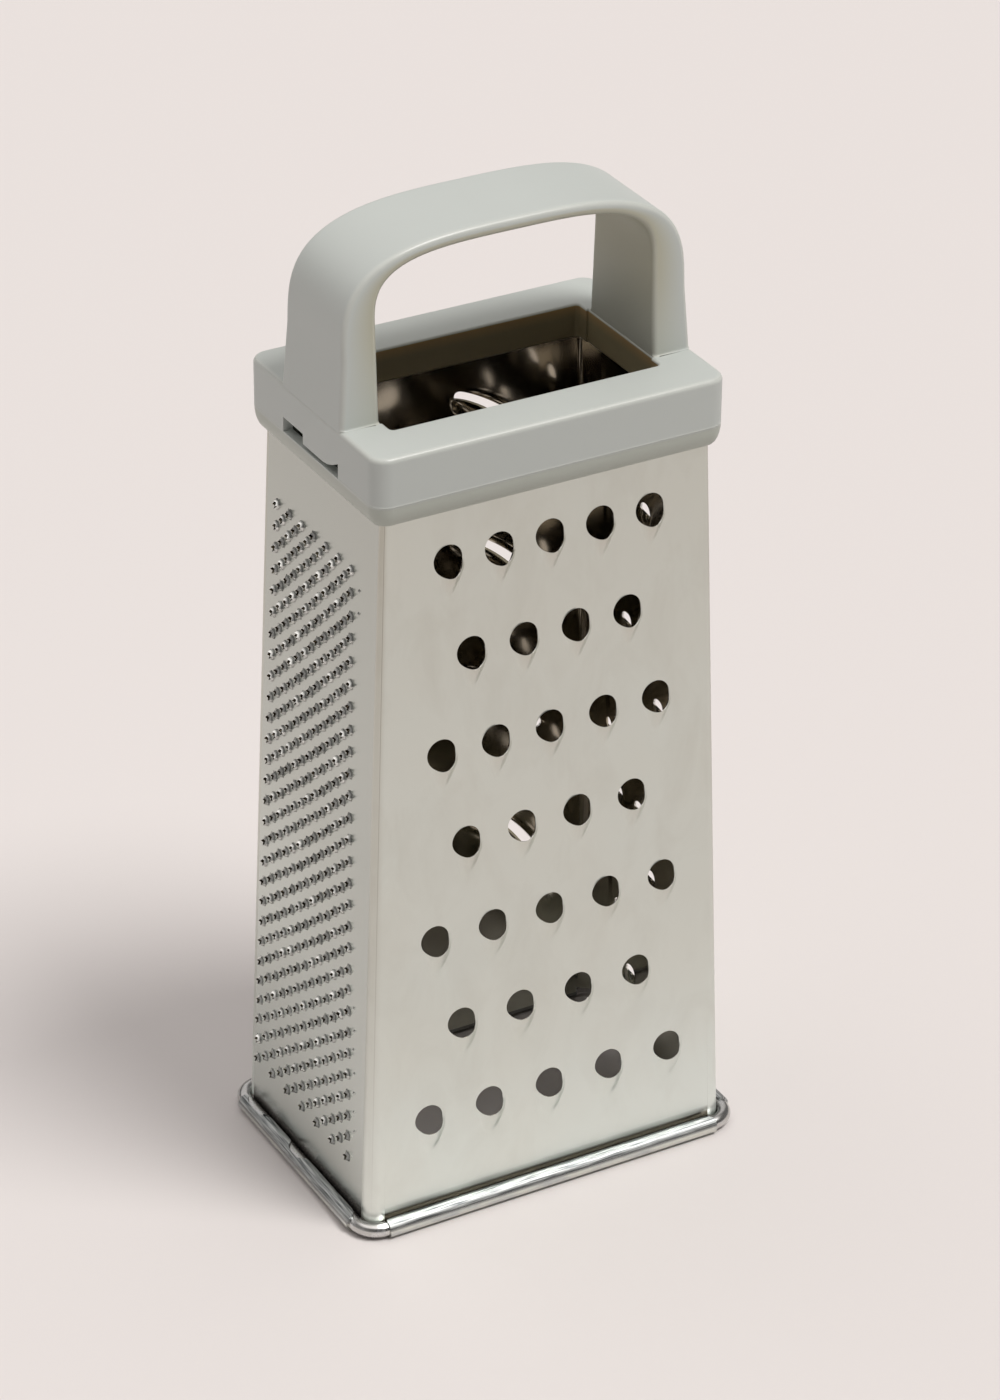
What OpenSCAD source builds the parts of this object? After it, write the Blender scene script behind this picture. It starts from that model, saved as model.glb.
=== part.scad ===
// Box grater: a folded sheet steel body with four cutting faces, a wired base
// and a moulded plastic collar that carries the handle.
// The origin is the centre of the base, +Z is up, the coarse face looks along -Y
// and the fine face looks along -X. All sizes are millimetres.

/* [Steel body] */
// Width of the body over the coarse and slicing faces, at the floor
base_w = 89.4; // [84:0.2:96]
// Depth of the body over the fine and medium faces, at the floor
base_d = 59.4; // [56:0.2:66]
// Width of the body at its top edge
top_w = 75.4; // [72:0.2:77]
// Depth of the body at its top edge
top_d = 52.2; // [49:0.2:53]
// Height of the top edge of the sheet, inside the collar
sheet_top = 181; // [179:0.5:182]
// Thickness of the steel sheet
sheet_t = 0.5; // [0.4:0.05:0.7]
// Outer radius of the corner bends at the floor
base_bend_r = 3.5; // [2.5:0.1:4.5]
// Outer radius of the corner bends at the top edge
top_bend_r = 1.5; // [1:0.1:2]

/* [Base wire and hems] */
// Diameter of the stiffening wire that runs round the base
wire_dia = 3.2; // [2.6:0.1:3.6]
// Depth of the flat that the hems stand on
foot_flat = 0.1; // [0.05:0.05:0.2]

/* [Coarse face] */
// Radius of a coarse hole
coarse_r = 3.3; // [2.6:0.1:3.6]
// Height of the centres of the lowest row
coarse_first = 25.8; // [24:0.2:30]
// Distance from one row to the next
coarse_pitch = 22.25; // [20:0.05:22.6]
// Distance between neighbouring holes in the lowest row
coarse_low_step = 14.84; // [13:0.02:15.2]
// Distance between neighbouring holes in the top row
coarse_top_step = 11.81; // [10.5:0.01:12.2]

/* [Fine face] */
// Number of burr rows
fine_rows = 28; // [16:1:28]
// Height of the lowest row of burrs
fine_first = 14.6; // [13:0.2:20]
// Distance from one row to the next
fine_pitch = 5.18; // [4.6:0.02:5.2]
// Distance between neighbouring burrs in the lowest row
fine_low_step = 7.16; // [6:0.02:7.2]
// Distance between neighbouring burrs in the top row
fine_top_step = 5.52; // [5:0.02:5.6]
// Distance of the pattern behind the middle of the face, lowest row
fine_low_shift = 2.4; // [0:0.1:2.8]
// Distance of the pattern behind the middle of the face, top row
fine_top_shift = 3.2; // [0:0.1:3.6]

/* [Medium face] */
// Radius of a medium hole
medium_r = 2.0; // [1.5:0.1:2.2]
// Number of rows of medium holes
medium_rows = 10; // [6:1:10]
// Distance between neighbouring holes in the lowest row
medium_low_step = 9.6; // [8.6:0.1:9.8]
// Distance between neighbouring holes in the top row
medium_top_step = 8.2; // [7.4:0.1:8.4]

/* [Slicing face] */
// Number of slicing slots
slicer_count = 8; // [3:1:8]
// Opening of a slicing slot
slicer_gap = 2; // [1.4:0.1:2.4]

/* [Collar] */
// Width of the collar
collar_w = 81.8; // [80:0.2:84]
// Depth of the collar
collar_d = 56.9; // [56:0.2:60]
// Height of the collar's top face
collar_top = 186; // [185:0.5:190]
// Height of the collar's lower edge
collar_foot = 170.2; // [168:0.2:172]
// Width of the opening in the top face
mouth_w = 62.4; // [58:0.2:63]
// Depth of the opening in the top face
mouth_d = 33.6; // [32:0.2:36]

/* [Handle] */
// Height of the handle's crown
handle_top = 223.5; // [215:0.5:235]
// Depth of the handle where it meets the collar
handle_foot_d = 26.6; // [22:0.2:28]
// Depth of the handle at its crown
handle_crown_d = 23.2; // [20:0.2:26]

/* [Hidden] */

steel = [0.75, 0.74, 0.70];
bright_steel = [0.82, 0.82, 0.81];
plastic = [0.74, 0.76, 0.73];

// The wire lies in the hem, whose underside is cut flat at the floor.
wire_r = wire_dia / 2;
hem_r = wire_r + sheet_t;
hem_z = hem_r - foot_flat;
hem_gap_angle = 128;

// Lean of the walls: the wide faces lean in depth, the narrow faces in width.
wide_lean = atan((base_d - top_d) / 2 / sheet_top);
narrow_lean = atan((base_w - top_w) / 2 / sheet_top);

// Half width, half depth and bend radius of the body at a height z.
function half_w(z) = (base_w + (top_w - base_w) * z / sheet_top) / 2;
function half_d(z) = (base_d + (top_d - base_d) * z / sheet_top) / 2;
function bend_r(z) = base_bend_r + (top_bend_r - base_bend_r) * z / sheet_top;
function mix(a, b, t) = a + (b - a) * t;

// Places a flat sheet, drawn with x across the face and y up it, as one wall.
// Its outer surface is at z = 0 and it looks along -Y before the turn.
module on_wall(reach, lean, turn) {
    rotate([0, 0, turn]) translate([0, -reach, 0]) rotate([90 - lean, 0, 0]) children();
}
module on_wide_wall(turn) { on_wall(base_d / 2, wide_lean, turn) children(); }
module on_narrow_wall(turn) { on_wall(base_w / 2, narrow_lean, turn) children(); }

// Flat part of a wall between its two bends, from the hem to the top edge.
module sheet_blank(low_half, top_half, lean) {
    foot = hem_z / cos(lean);
    head = sheet_top / cos(lean);
    translate([0, 0, -sheet_t]) linear_extrude(sheet_t)
        polygon([[-low_half, foot], [low_half, foot], [top_half, head], [-top_half, head]]);
}
module wide_blank() {
    sheet_blank(half_w(hem_z) - bend_r(hem_z), half_w(sheet_top) - top_bend_r, wide_lean);
}
module narrow_blank() {
    sheet_blank(half_d(hem_z) - bend_r(hem_z), half_d(sheet_top) - top_bend_r, narrow_lean);
}

// One grating tooth: a half-round hole whose lower edge is pushed out of the sheet
// as the mouth of a ramp that runs down to a point. r is the hole's radius. The lift
// and the reach of the ramp are shares of r, and the mouth leans by mouth_lean.
tooth_lift = 0.62;
tooth_reach = 2.95;
mouth_lean = atan(1.4);
ramp_tip_r = 0.04;
// The hollow under a ramp starts this many sheet thicknesses behind its tip.
ramp_tip_wall = 1.5;
function ramp_r(r) = r * (1 + tooth_lift * tooth_lift) / (2 * tooth_lift);
module ramp_cone(r, inset) {
    sink = ramp_r(r) - r * tooth_lift;
    length = norm([r * tooth_reach, sink]);
    translate([0, -r * tooth_reach, 0]) rotate([-90 - atan(sink / (r * tooth_reach)), 0, 0])
        translate([0, 0, inset * ramp_tip_wall])
            cylinder(h = length, r1 = ramp_tip_r, r2 = ramp_r(r) - inset, $fn = 40);
}
module tooth_ramp(r) {
    intersection() {
        ramp_cone(r, 0);
        rotate([mouth_lean, 0, 0]) translate([-2 * r, -6 * r, -2 * r])
            cube([4 * r, 6 * r, 6 * r]);
    }
}
module tooth_hole(r) {
    translate([0, 0, -2 * sheet_t]) linear_extrude(3 * sheet_t) difference() {
        circle(r = r, $fn = 40);
        translate([-2 * r, -4 * r]) square([4 * r, 4 * r]);
    }
    ramp_cone(r, sheet_t);
}

// A wall with grating teeth of radius r at the listed places.
module toothed_wall(r, places) {
    difference() {
        union() {
            children();
            for (p = places) translate(p) tooth_ramp(r);
        }
        for (p = places) translate(p) tooth_hole(r);
        translate([-base_w, -base_w, -sheet_t - 3 * r]) cube([2 * base_w, 4 * base_w, 3 * r]);
    }
}

// Seven rows of coarse teeth, five and four in turn, that fan out with the face.
coarse_rows = 7;
coarse_places = [for (row = [0 : coarse_rows - 1])
    let (count = row % 2 == 0 ? 5 : 4,
         step = mix(coarse_low_step, coarse_top_step, row / (coarse_rows - 1)))
    for (i = [0 : count - 1])
        [(i - (count - 1) / 2) * step, (coarse_first + row * coarse_pitch) / cos(wide_lean), 0]];
module coarse_wall() {
    color(steel) on_wide_wall(0) toothed_wall(coarse_r, coarse_places) wide_blank();
}

// Rows of medium teeth, five and four in turn.
medium_first = 18;
medium_span = 140;
medium_places = [for (row = [0 : medium_rows - 1])
    let (up = row / (medium_rows - 1),
         count = row % 2 == 0 ? 5 : 4,
         step = mix(medium_low_step, medium_top_step, up))
    for (i = [0 : count - 1])
        [(i - (count - 1) / 2) * step, medium_first + up * medium_span, 0]];
module medium_wall() {
    color(steel) on_narrow_wall(90) toothed_wall(medium_r, medium_places) narrow_blank();
}

// The fine face: burrs in a staggered lattice, seven and six in turn. Each is a
// pierced hole whose edge stands up round it as a crater.
burr_r = 1.15;
burr_tip_r = 0.75;
burr_hole_r = 0.6;
burr_h = 0.9;
fine_columns = 7;
fine_places = [for (row = [0 : 0.5 : fine_rows - 1])
    let (up = row / (fine_rows - 1),
         minor = row != floor(row),
         count = minor ? fine_columns - 1 : fine_columns,
         step = mix(fine_low_step, fine_top_step, up),
         shift = -mix(fine_low_shift, fine_top_shift, up))
    for (i = [0 : count - 1])
        [shift + (i - (count - 1) / 2) * step, (fine_first + row * fine_pitch) / cos(narrow_lean), 0]];
module fine_wall() {
    color(steel) on_narrow_wall(-90) difference() {
        union() {
            narrow_blank();
            for (p = fine_places) translate(p) translate([0, 0, -sheet_t / 2])
                cylinder(h = burr_h + sheet_t / 2, r1 = burr_r, r2 = burr_tip_r, $fn = 16);
        }
        for (p = fine_places) translate(p) translate([0, 0, -2 * sheet_t])
            cylinder(h = burr_h + 3 * sheet_t, r = burr_hole_r, $fn = 16);
    }
}

// The slicing face: curved slots that run down across the face in two columns,
// each with a raised cutting lip along its lower edge.
slot_arc_r = 45;
slot_half_angle = 19;
slot_slant = 42;
slot_column = 20;
slot_low = 39.5;
slot_step = 17;
lip_h = 1.4;
lip_t = 1;
// The lip runs this angle past each end of its slot.
lip_over = 0.6;
module slot_shape(width, angle) {
    points = 12;
    outer = [for (i = [0 : points]) let (a = -angle + 2 * angle * i / points)
        (slot_arc_r + width / 2) * [sin(a), cos(a)]];
    inner = [for (i = [points : -1 : 0]) let (a = -angle + 2 * angle * i / points)
        (slot_arc_r - width / 2) * [sin(a), cos(a)]];
    translate([0, -slot_arc_r]) polygon(concat(outer, inner));
}
slicer_places = [for (i = [0 : slicer_count - 1])
    [(i % 2 == 0 ? 1 : -1) * slot_column, slot_low + i * slot_step, 0]];
module slicing_wall() {
    color(steel) on_wide_wall(180) difference() {
        union() {
            wide_blank();
            for (p = slicer_places) translate(p) rotate([0, 0, slot_slant])
                translate([0, -slicer_gap, -sheet_t / 2]) linear_extrude(lip_h + sheet_t / 2)
                    slot_shape(lip_t, slot_half_angle + lip_over);
        }
        for (p = slicer_places) translate(p) rotate([0, 0, slot_slant])
            translate([0, -slicer_gap / 4, -2 * sheet_t]) linear_extrude(3 * sheet_t)
                slot_shape(slicer_gap, slot_half_angle);
    }
}

// Where the sheet's two ends meet: a narrow strip lapped inside the medium wall,
// beside the bend, with a row of spot weld dimples.
lap_w = 8;
lap_foot = 8;
lap_head = 176;
weld_r = 2;
weld_count = 6;
weld_low = 20;
weld_high = 165;
weld_depth = 0.25 * sheet_t;
module seam_lap() {
    low_edge = half_d(lap_foot) - bend_r(lap_foot);
    top_edge = half_d(lap_head) - bend_r(lap_head);
    color(steel) on_narrow_wall(90) translate([0, 0, -2 * sheet_t]) difference() {
        linear_extrude(sheet_t) polygon([[low_edge - lap_w, lap_foot], [low_edge, lap_foot],
            [top_edge, lap_head], [top_edge - lap_w, lap_head]]);
        for (i = [0 : weld_count - 1]) let (up = i / (weld_count - 1))
            translate([mix(low_edge, top_edge, up) - lap_w / 2, mix(weld_low, weld_high, up), -sheet_t])
                cylinder(h = sheet_t + weld_depth, r = weld_r, $fn = 32);
    }
}

// A corner bend: a quarter of a thin cone between two walls, above the wire.
bend_foot = 2.8;
module bend() {
    foot = [half_w(bend_foot) - bend_r(bend_foot), half_d(bend_foot) - bend_r(bend_foot), bend_foot];
    head = [half_w(sheet_top) - top_bend_r, half_d(sheet_top) - top_bend_r, sheet_top];
    along = head - foot;
    translate(foot) rotate([asin(-along.y / norm(along)), atan(along.x / along.z), 0])
        intersection() {
            difference() {
                cylinder(h = norm(along), r1 = bend_r(bend_foot), r2 = top_bend_r);
                translate([0, 0, -1]) cylinder(h = norm(along) + 2,
                    r1 = bend_r(bend_foot) - sheet_t, r2 = top_bend_r - sheet_t);
            }
            cube([2 * base_bend_r, 2 * base_bend_r, norm(along)]);
        }
}
module bend_back_right() { color(steel) bend(); }
module bend_back_left() { color(steel) mirror([1, 0, 0]) bend(); }
module bend_front_right() { color(steel) mirror([0, 1, 0]) bend(); }
module bend_front_left() { color(steel) mirror([1, 0, 0]) mirror([0, 1, 0]) bend(); }

// Centre line of the wire: it touches the outer surface of the walls.
wire_half_w = half_w(hem_z) + wire_r;
wire_half_d = half_d(hem_z) + wire_r;
wire_bend_r = base_bend_r + wire_r;

// A hem: the foot of a wall curled out, round and over the wire. It ends where the
// wire bends, so the wire is bare at the four corners.
// hem_profile is drawn with x outward from the wire and y up.
module hem_profile() {
    difference() {
        circle(r = hem_r, $fn = 64);
        circle(r = wire_r, $fn = 64);
        polygon([[0, 0], [-2 * hem_r, 0], [-2 * hem_r, 2 * hem_r],
            [2 * hem_r * cos(hem_gap_angle), 2 * hem_r * sin(hem_gap_angle)]]);
        translate([-2 * hem_r, -hem_z - hem_r]) square([4 * hem_r, hem_r]);
    }
}
module hem(reach, side, turn) {
    length = 2 * (side - wire_bend_r);
    rotate([0, 0, turn]) translate([-length / 2, -reach, hem_z]) rotate([90, 0, 90])
        linear_extrude(length) mirror([1, 0]) hem_profile();
}
module hem_front() { color(bright_steel) hem(wire_half_d, wire_half_w, 0); }
module hem_back() { color(bright_steel) hem(wire_half_d, wire_half_w, 180); }
module hem_left() { color(bright_steel) hem(wire_half_w, wire_half_d, -90); }
module hem_right() { color(bright_steel) hem(wire_half_w, wire_half_d, 90); }

// The base wire: a closed rounded rectangle of round rod.
module wire_side(length) {
    rotate([0, 90, 0]) translate([0, 0, -length / 2]) cylinder(h = length, r = wire_r);
}
module base_wire() {
    straight_w = wire_half_w - wire_bend_r;
    straight_d = wire_half_d - wire_bend_r;
    joint = 0.04;
    color(bright_steel) translate([0, 0, hem_z]) {
        for (side = [-1, 1]) {
            translate([0, side * wire_half_d, 0]) wire_side(2 * straight_w + joint);
            translate([side * wire_half_w, 0, 0]) rotate([0, 0, 90]) wire_side(2 * straight_d + joint);
        }
        for (sx = [0, 1], sy = [0, 1])
            mirror([sx, 0, 0]) mirror([0, sy, 0]) translate([straight_w, straight_d, 0])
                rotate_extrude(angle = 90) translate([wire_bend_r, 0]) circle(r = wire_r);
    }
}

// The collar: an outer band that curves in to the sheet, a top plate with the
// mouth, and a skirt that hangs round the mouth inside the sheet.
collar_corner_r = 4;
band_t = 2.2;
plate_t = 2.4;
edge_r = 1.4;
skirt_foot = 178.2;
skirt_t = 1.8;
// Below the parting height the band curves in by band_tuck, to a thin foot.
parting_z = 175.2;
band_tuck = 2.3;
foot_lip_t = 0.5;
foot_lip_h = 0.8;
// The band's top leaf ends this far outside the corner circle's centre, and the
// top plate laps under it by plate_lap.
leaf_in = 0.2;
plate_lap = 0.1;
// Half sizes of the straight sides between the corner circles
collar_flat_w = collar_w / 2 - collar_corner_r;
collar_flat_d = collar_d / 2 - collar_corner_r;
// Section of the band, x out from the corner circle's centre, y the height.
// Below the parting height it curves in towards the sheet.
module band_section() {
    curve = [for (a = [0 : 9 : 90])
        [collar_corner_r - band_tuck * (1 - cos(a)), parting_z - (parting_z - collar_foot) * sin(a)]];
    round_top = [for (a = [0 : 15 : 90])
        [collar_corner_r - edge_r * (1 - cos(a)), collar_top - edge_r * (1 - sin(a))]];
    inner_x = collar_corner_r - band_t;
    lip_x = collar_corner_r - band_tuck - foot_lip_t;
    polygon(concat([for (i = [len(curve) - 1 : -1 : 0]) curve[i]], round_top,
        [[leaf_in, collar_top], [leaf_in, collar_top - plate_t], [inner_x, collar_top - plate_t],
         [inner_x, parting_z], [lip_x, collar_foot + foot_lip_h], [lip_x, collar_foot]]));
}
module band() {
    for (sx = [0, 1], sy = [0, 1])
        mirror([sx, 0, 0]) mirror([0, sy, 0]) translate([collar_flat_w, collar_flat_d, 0])
            rotate_extrude(angle = 90) band_section();
    for (side = [0, 180]) {
        rotate([0, 0, side]) translate([-collar_flat_w, collar_flat_d, 0]) rotate([90, 0, 90])
            linear_extrude(2 * collar_flat_w) band_section();
        rotate([0, 0, side]) translate([collar_flat_w, collar_flat_d, 0]) rotate([90, 0, 0])
            linear_extrude(2 * collar_flat_d) band_section();
    }
}
// Plan of the mouth: its ends are set back a little beside the handle's legs.
leg_setback = 0.4;
module mouth_plan(grow) {
    square([mouth_w + 2 * grow, mouth_d + 2 * grow], center = true);
    square([mouth_w + 2 * leg_setback + 2 * grow, handle_foot_d + 2 * grow], center = true);
}
// Slot through the short sides of the band, at the foot of each leg. A tongue that is
// flush with the outside closes all but its foot, and is cut away slantwise at one end.
slot_half_w = 12.1;
slot_h = 3.3;
tongue_back = 3.3;
tongue_front = -6.5;
tongue_gap = 1.6;
module side_slot() {
    for (side = [0, 180]) rotate([0, 0, side])
        translate([-collar_w, 0, parting_z]) rotate([90, 0, 90])
            linear_extrude(collar_w / 2 + 2 * band_t)
                polygon([[-slot_half_w, 0], [slot_half_w, 0], [slot_half_w, slot_h],
                    [tongue_back, slot_h], [tongue_back, tongue_gap], [tongue_front, tongue_gap],
                    [-slot_half_w, slot_h]]);
}
module collar() {
    color(plastic) difference() {
        union() {
            band();
            translate([0, 0, collar_top - plate_t]) linear_extrude(plate_t)
                square([2 * (collar_flat_w + leaf_in + plate_lap),
                    2 * (collar_flat_d + leaf_in + plate_lap)], center = true);
            translate([0, 0, skirt_foot]) linear_extrude(collar_top - plate_t / 2 - skirt_foot)
                mouth_plan(skirt_t);
        }
        translate([0, 0, skirt_foot - 1]) linear_extrude(collar_top - skirt_foot + 2) mouth_plan(0);
        side_slot();
    }
}

// The handle: a flat strap bent into an arch between the collar's short sides.
// Its outline is a superellipse above a slightly leaning leg.
outer_half = 39.7;
outer_foot_half = 40.7;
outer_shoulder_z = 200;
outer_power = 3.2;
inner_half = 31.9;
inner_foot_half = 31.8;
inner_shoulder_z = 206;
inner_power = 3.5;
strap_t = 2.9;
function arch(half, shoulder, top, power, a) = [
    half * sign(cos(a)) * pow(abs(cos(a)), 2 / power),
    shoulder + (top - shoulder) * pow(abs(sin(a)), 2 / power)];
module arch_area(half, foot_half, shoulder, top, power) {
    polygon(concat([[foot_half, collar_top]],
        [for (a = [0 : 6 : 180]) arch(half, shoulder, top, power, a)],
        [[-foot_half, collar_top]]));
}
module handle() {
    color(plastic) intersection() {
        translate([0, handle_foot_d, 0]) rotate([90, 0, 0]) linear_extrude(2 * handle_foot_d)
            difference() {
                arch_area(outer_half, outer_foot_half, outer_shoulder_z, handle_top, outer_power);
                arch_area(inner_half, inner_foot_half, inner_shoulder_z, handle_top - strap_t,
                    inner_power);
            }
        translate([-collar_w, 0, 0]) rotate([90, 0, 90]) linear_extrude(2 * collar_w)
            polygon([[-handle_foot_d / 2, collar_top - 1], [handle_foot_d / 2, collar_top - 1],
                [handle_crown_d / 2, handle_top + 1], [-handle_crown_d / 2, handle_top + 1]]);
    }
}

coarse_wall();
fine_wall();
slicing_wall();
medium_wall();
bend_front_left();
bend_front_right();
bend_back_left();
bend_back_right();
seam_lap();
hem_front();
hem_left();
hem_back();
hem_right();
base_wire();
collar();
handle();
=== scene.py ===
"""Box grater with a folded steel body, a wired base and a moulded collar and handle.

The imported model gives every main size. Lengths are metres, +Z is up, the coarse face
looks along -Y and the fine face looks along -X.
"""

import math

import bmesh
import bpy
import numpy as np
from bpy.props import FloatProperty, FloatVectorProperty, PointerProperty
from bpy.types import Operator, Panel, PropertyGroup
from mathutils import Matrix, Vector
from mathutils.geometry import delaunay_2d_cdt


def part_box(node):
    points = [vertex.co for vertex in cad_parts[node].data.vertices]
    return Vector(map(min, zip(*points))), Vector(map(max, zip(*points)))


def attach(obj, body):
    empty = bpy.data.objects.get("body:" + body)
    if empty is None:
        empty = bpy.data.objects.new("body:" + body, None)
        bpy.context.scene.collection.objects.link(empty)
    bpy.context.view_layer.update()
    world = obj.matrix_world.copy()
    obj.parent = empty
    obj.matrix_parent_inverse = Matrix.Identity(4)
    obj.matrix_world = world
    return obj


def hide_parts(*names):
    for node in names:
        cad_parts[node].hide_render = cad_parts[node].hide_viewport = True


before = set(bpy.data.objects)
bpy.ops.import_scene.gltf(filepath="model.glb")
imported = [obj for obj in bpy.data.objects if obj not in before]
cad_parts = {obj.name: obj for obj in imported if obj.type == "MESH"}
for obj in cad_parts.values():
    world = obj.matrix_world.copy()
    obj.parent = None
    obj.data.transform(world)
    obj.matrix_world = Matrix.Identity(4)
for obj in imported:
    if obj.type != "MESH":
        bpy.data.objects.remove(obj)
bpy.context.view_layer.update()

bl_info = {
    "name": "Box Grater",
    "version": (1, 0, 0),
    "blender": (4, 5, 0),
    "location": "3D View > Sidebar > Grater",
    "description": "Makes the formed, bright and moulded surfaces of a box grater",
    "category": "Object",
}

MM = 0.001

# Main sizes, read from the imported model.
WIRE_LOW, WIRE_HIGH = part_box("base_wire")
COLLAR_LOW, COLLAR_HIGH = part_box("collar")
BEND_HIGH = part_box("bend_front_left")[1]
HANDLE_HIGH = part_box("handle")[1]
SHEET_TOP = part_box("coarse_wall")[1].z

# The sheet: its corner bends, and the flat strip that each bend keeps on either side.
TOP_BEND_R = 1.5 * MM
BASE_BEND_R = 3.5 * MM
BEND_STRIP = 0.3 * MM
TOP_HALF = np.array([-BEND_HIGH.x + TOP_BEND_R, -BEND_HIGH.y + TOP_BEND_R])

# The wire, and the rectangle that it follows.
WIRE_R = (WIRE_HIGH.z - WIRE_LOW.z) / 2
WIRE_Z = (WIRE_HIGH.z + WIRE_LOW.z) / 2
WIRE_BEND_R = BASE_BEND_R + WIRE_R
HEM_HALF = np.array([WIRE_HIGH.x, WIRE_HIGH.y]) - 2 * WIRE_R
WIRE_HALF = HEM_HALF + WIRE_R
# Half width and half depth of the body at the floor, carried down from the wire's height.
BASE_HALF = TOP_HALF + (HEM_HALF - TOP_HALF) * SHEET_TOP / (SHEET_TOP - WIRE_Z)
# Lengths round a hem's outside, counted from straight outwards: one degree, to the lowest
# point, and to just past the free edge.
HEM_DEGREE = math.radians(1) * (WIRE_R + 0.5 * MM)
HEM_UNDER = 270 * HEM_DEGREE
HEM_END = 470 * HEM_DEGREE

# The collar: half width and half depth with the radius of the corners, outside and in the
# mouth, and the height of the line that the two halves of its mould leave.
COLLAR_HALF = np.array([COLLAR_HIGH.x, COLLAR_HIGH.y])
COLLAR_CORNER = 4 * MM
COLLAR_TOP = COLLAR_HIGH.z
COLLAR_FOOT = COLLAR_LOW.z
MOUTH_HALF = np.array([31.2, 16.8]) * MM
MOUTH_CORNER = 1 * MM
PARTING_Z = 175.2 * MM


def mix(a, b, share):
    """The value that lies the given share of the way from a to b."""
    return a + (b - a) * share


def body_half(z):
    """Half width and half depth of the body's outside at height z."""
    return mix(BASE_HALF, TOP_HALF, np.asarray(z)[..., None] / SHEET_TOP)


def bend_radius(z):
    """Outer radius of the corner bends at height z."""
    return mix(BASE_BEND_R, TOP_BEND_R, z / SHEET_TOP)


def smooth_step(low, high, value):
    """0 below low and 1 above high, with level ends: 3 t squared minus 2 t cubed."""
    share = np.clip((value - low) / (high - low), 0, 1)
    return share * share * (3 - 2 * share)


def length(name, description, default, low, high, precision=5):
    """A setting for a length. Its three numbers are given in millimetres."""
    return FloatProperty(name=name, description=description, default=default * MM,
                         min=low * MM, max=high * MM, precision=precision, unit="LENGTH")


def tint(name, description, default):
    """A setting for a colour."""
    return FloatVectorProperty(name=name, description=description, default=default,
                               min=0, max=1, subtype="COLOR")


class GraterSheetSizes(PropertyGroup):
    """Sizes of the steel and of what is cut and formed in it."""

    thickness: length("Sheet thickness", "Thickness of the steel sheet", 0.5, 0.3, 0.8)
    coarse_radius: length(
        "Coarse hole radius", "Radius of a hole in the coarse face", 3.3, 2.5, 3.6)
    coarse_low_lift: length(
        "Coarse lift, bottom row", "Height of the cutting edge, bottom row", 1.45, 1.0, 2.2)
    coarse_top_lift: length(
        "Coarse lift, top row", "Height of the cutting edge, top row", 1.65, 1.0, 2.4)
    coarse_drop: length(
        "Coarse hole drop", "How far the cutting edge is drawn down, top row", 0.6, 0.0, 0.8)
    medium_radius: length(
        "Medium hole radius", "Radius of a hole in the medium face", 2.0, 1.5, 2.3)
    medium_lift: length(
        "Medium lift", "Height of the cutting edges of the medium face", 1.15, 0.6, 1.4)
    burr_height: length(
        "Burr height", "Height of a burr's points on the fine face", 1.0, 0.5, 1.3)
    burr_radius: length(
        "Burr radius", "Radius of a burr where it leaves the sheet", 1.5, 0.9, 1.7)
    slot_gap: length("Slot opening", "Opening of a slicing slot", 2.0, 1.2, 2.4)
    lip_height: length(
        "Lip height", "Height of a slicing edge above the sheet", 1.4, 0.8, 1.6)


class GraterPlasticSizes(PropertyGroup):
    """Sizes of the roundings of the moulded parts."""

    collar_round: length("Collar edge", "Radius of the collar's top edge", 1.1, 0.6, 2.0)
    mouth_round: length("Mouth edge", "Radius of the edge of the opening", 0.6, 0.2, 1.2)
    handle_round: length("Handle edge", "Radius of the handle's long edges", 1.2, 0.5, 1.3)
    root_round: length(
        "Handle root", "Radius of the hollow between handle and collar", 0.5, 0.1, 1.0)
    parting_ridge: length(
        "Parting ridge", "Height of the line that the mould leaves", 0.05, 0.0, 0.15, 6)


class GraterColours(PropertyGroup):
    """Colours of the finishes."""

    steel_warm: tint(
        "Steel, warm clouds", "Satin steel where it looks warmer", (0.825, 0.865, 0.815))
    steel_cool: tint(
        "Steel, cool clouds", "Satin steel where it looks cooler", (0.825, 0.88, 0.84))
    steel_bright: tint("Bright steel", "Inner face of the sheet", (0.84, 0.85, 0.75))
    steel_hem: tint("Hem steel", "Curled hems round the base", (0.72, 0.735, 0.68))
    wire: tint("Wire", "Drawn wire round the base", (0.68, 0.68, 0.68))
    plastic: tint("Plastic", "Moulded collar and handle", (0.555, 0.585, 0.56))
    plastic_edge: tint("Plastic edge", "Rounded edges of the mouldings", (0.66, 0.66, 0.60))
    floor: tint("Floor", "Floor and background", (0.753, 0.711, 0.699))


class Value:
    """One number's socket in a node tree. Sums on it add Math nodes."""

    def __init__(self, finish, socket):
        self.finish = finish
        self.socket = socket

    def __add__(self, other):
        return self.finish.sum("ADD", self, other)

    def __radd__(self, other):
        return self.finish.sum("ADD", other, self)

    def __sub__(self, other):
        return self.finish.sum("SUBTRACT", self, other)

    def __rsub__(self, other):
        return self.finish.sum("SUBTRACT", other, self)

    def __mul__(self, other):
        return self.finish.sum("MULTIPLY", self, other)

    def __rmul__(self, other):
        return self.finish.sum("MULTIPLY", other, self)

    def __pow__(self, other):
        return self.finish.sum("POWER", self, other)


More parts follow.
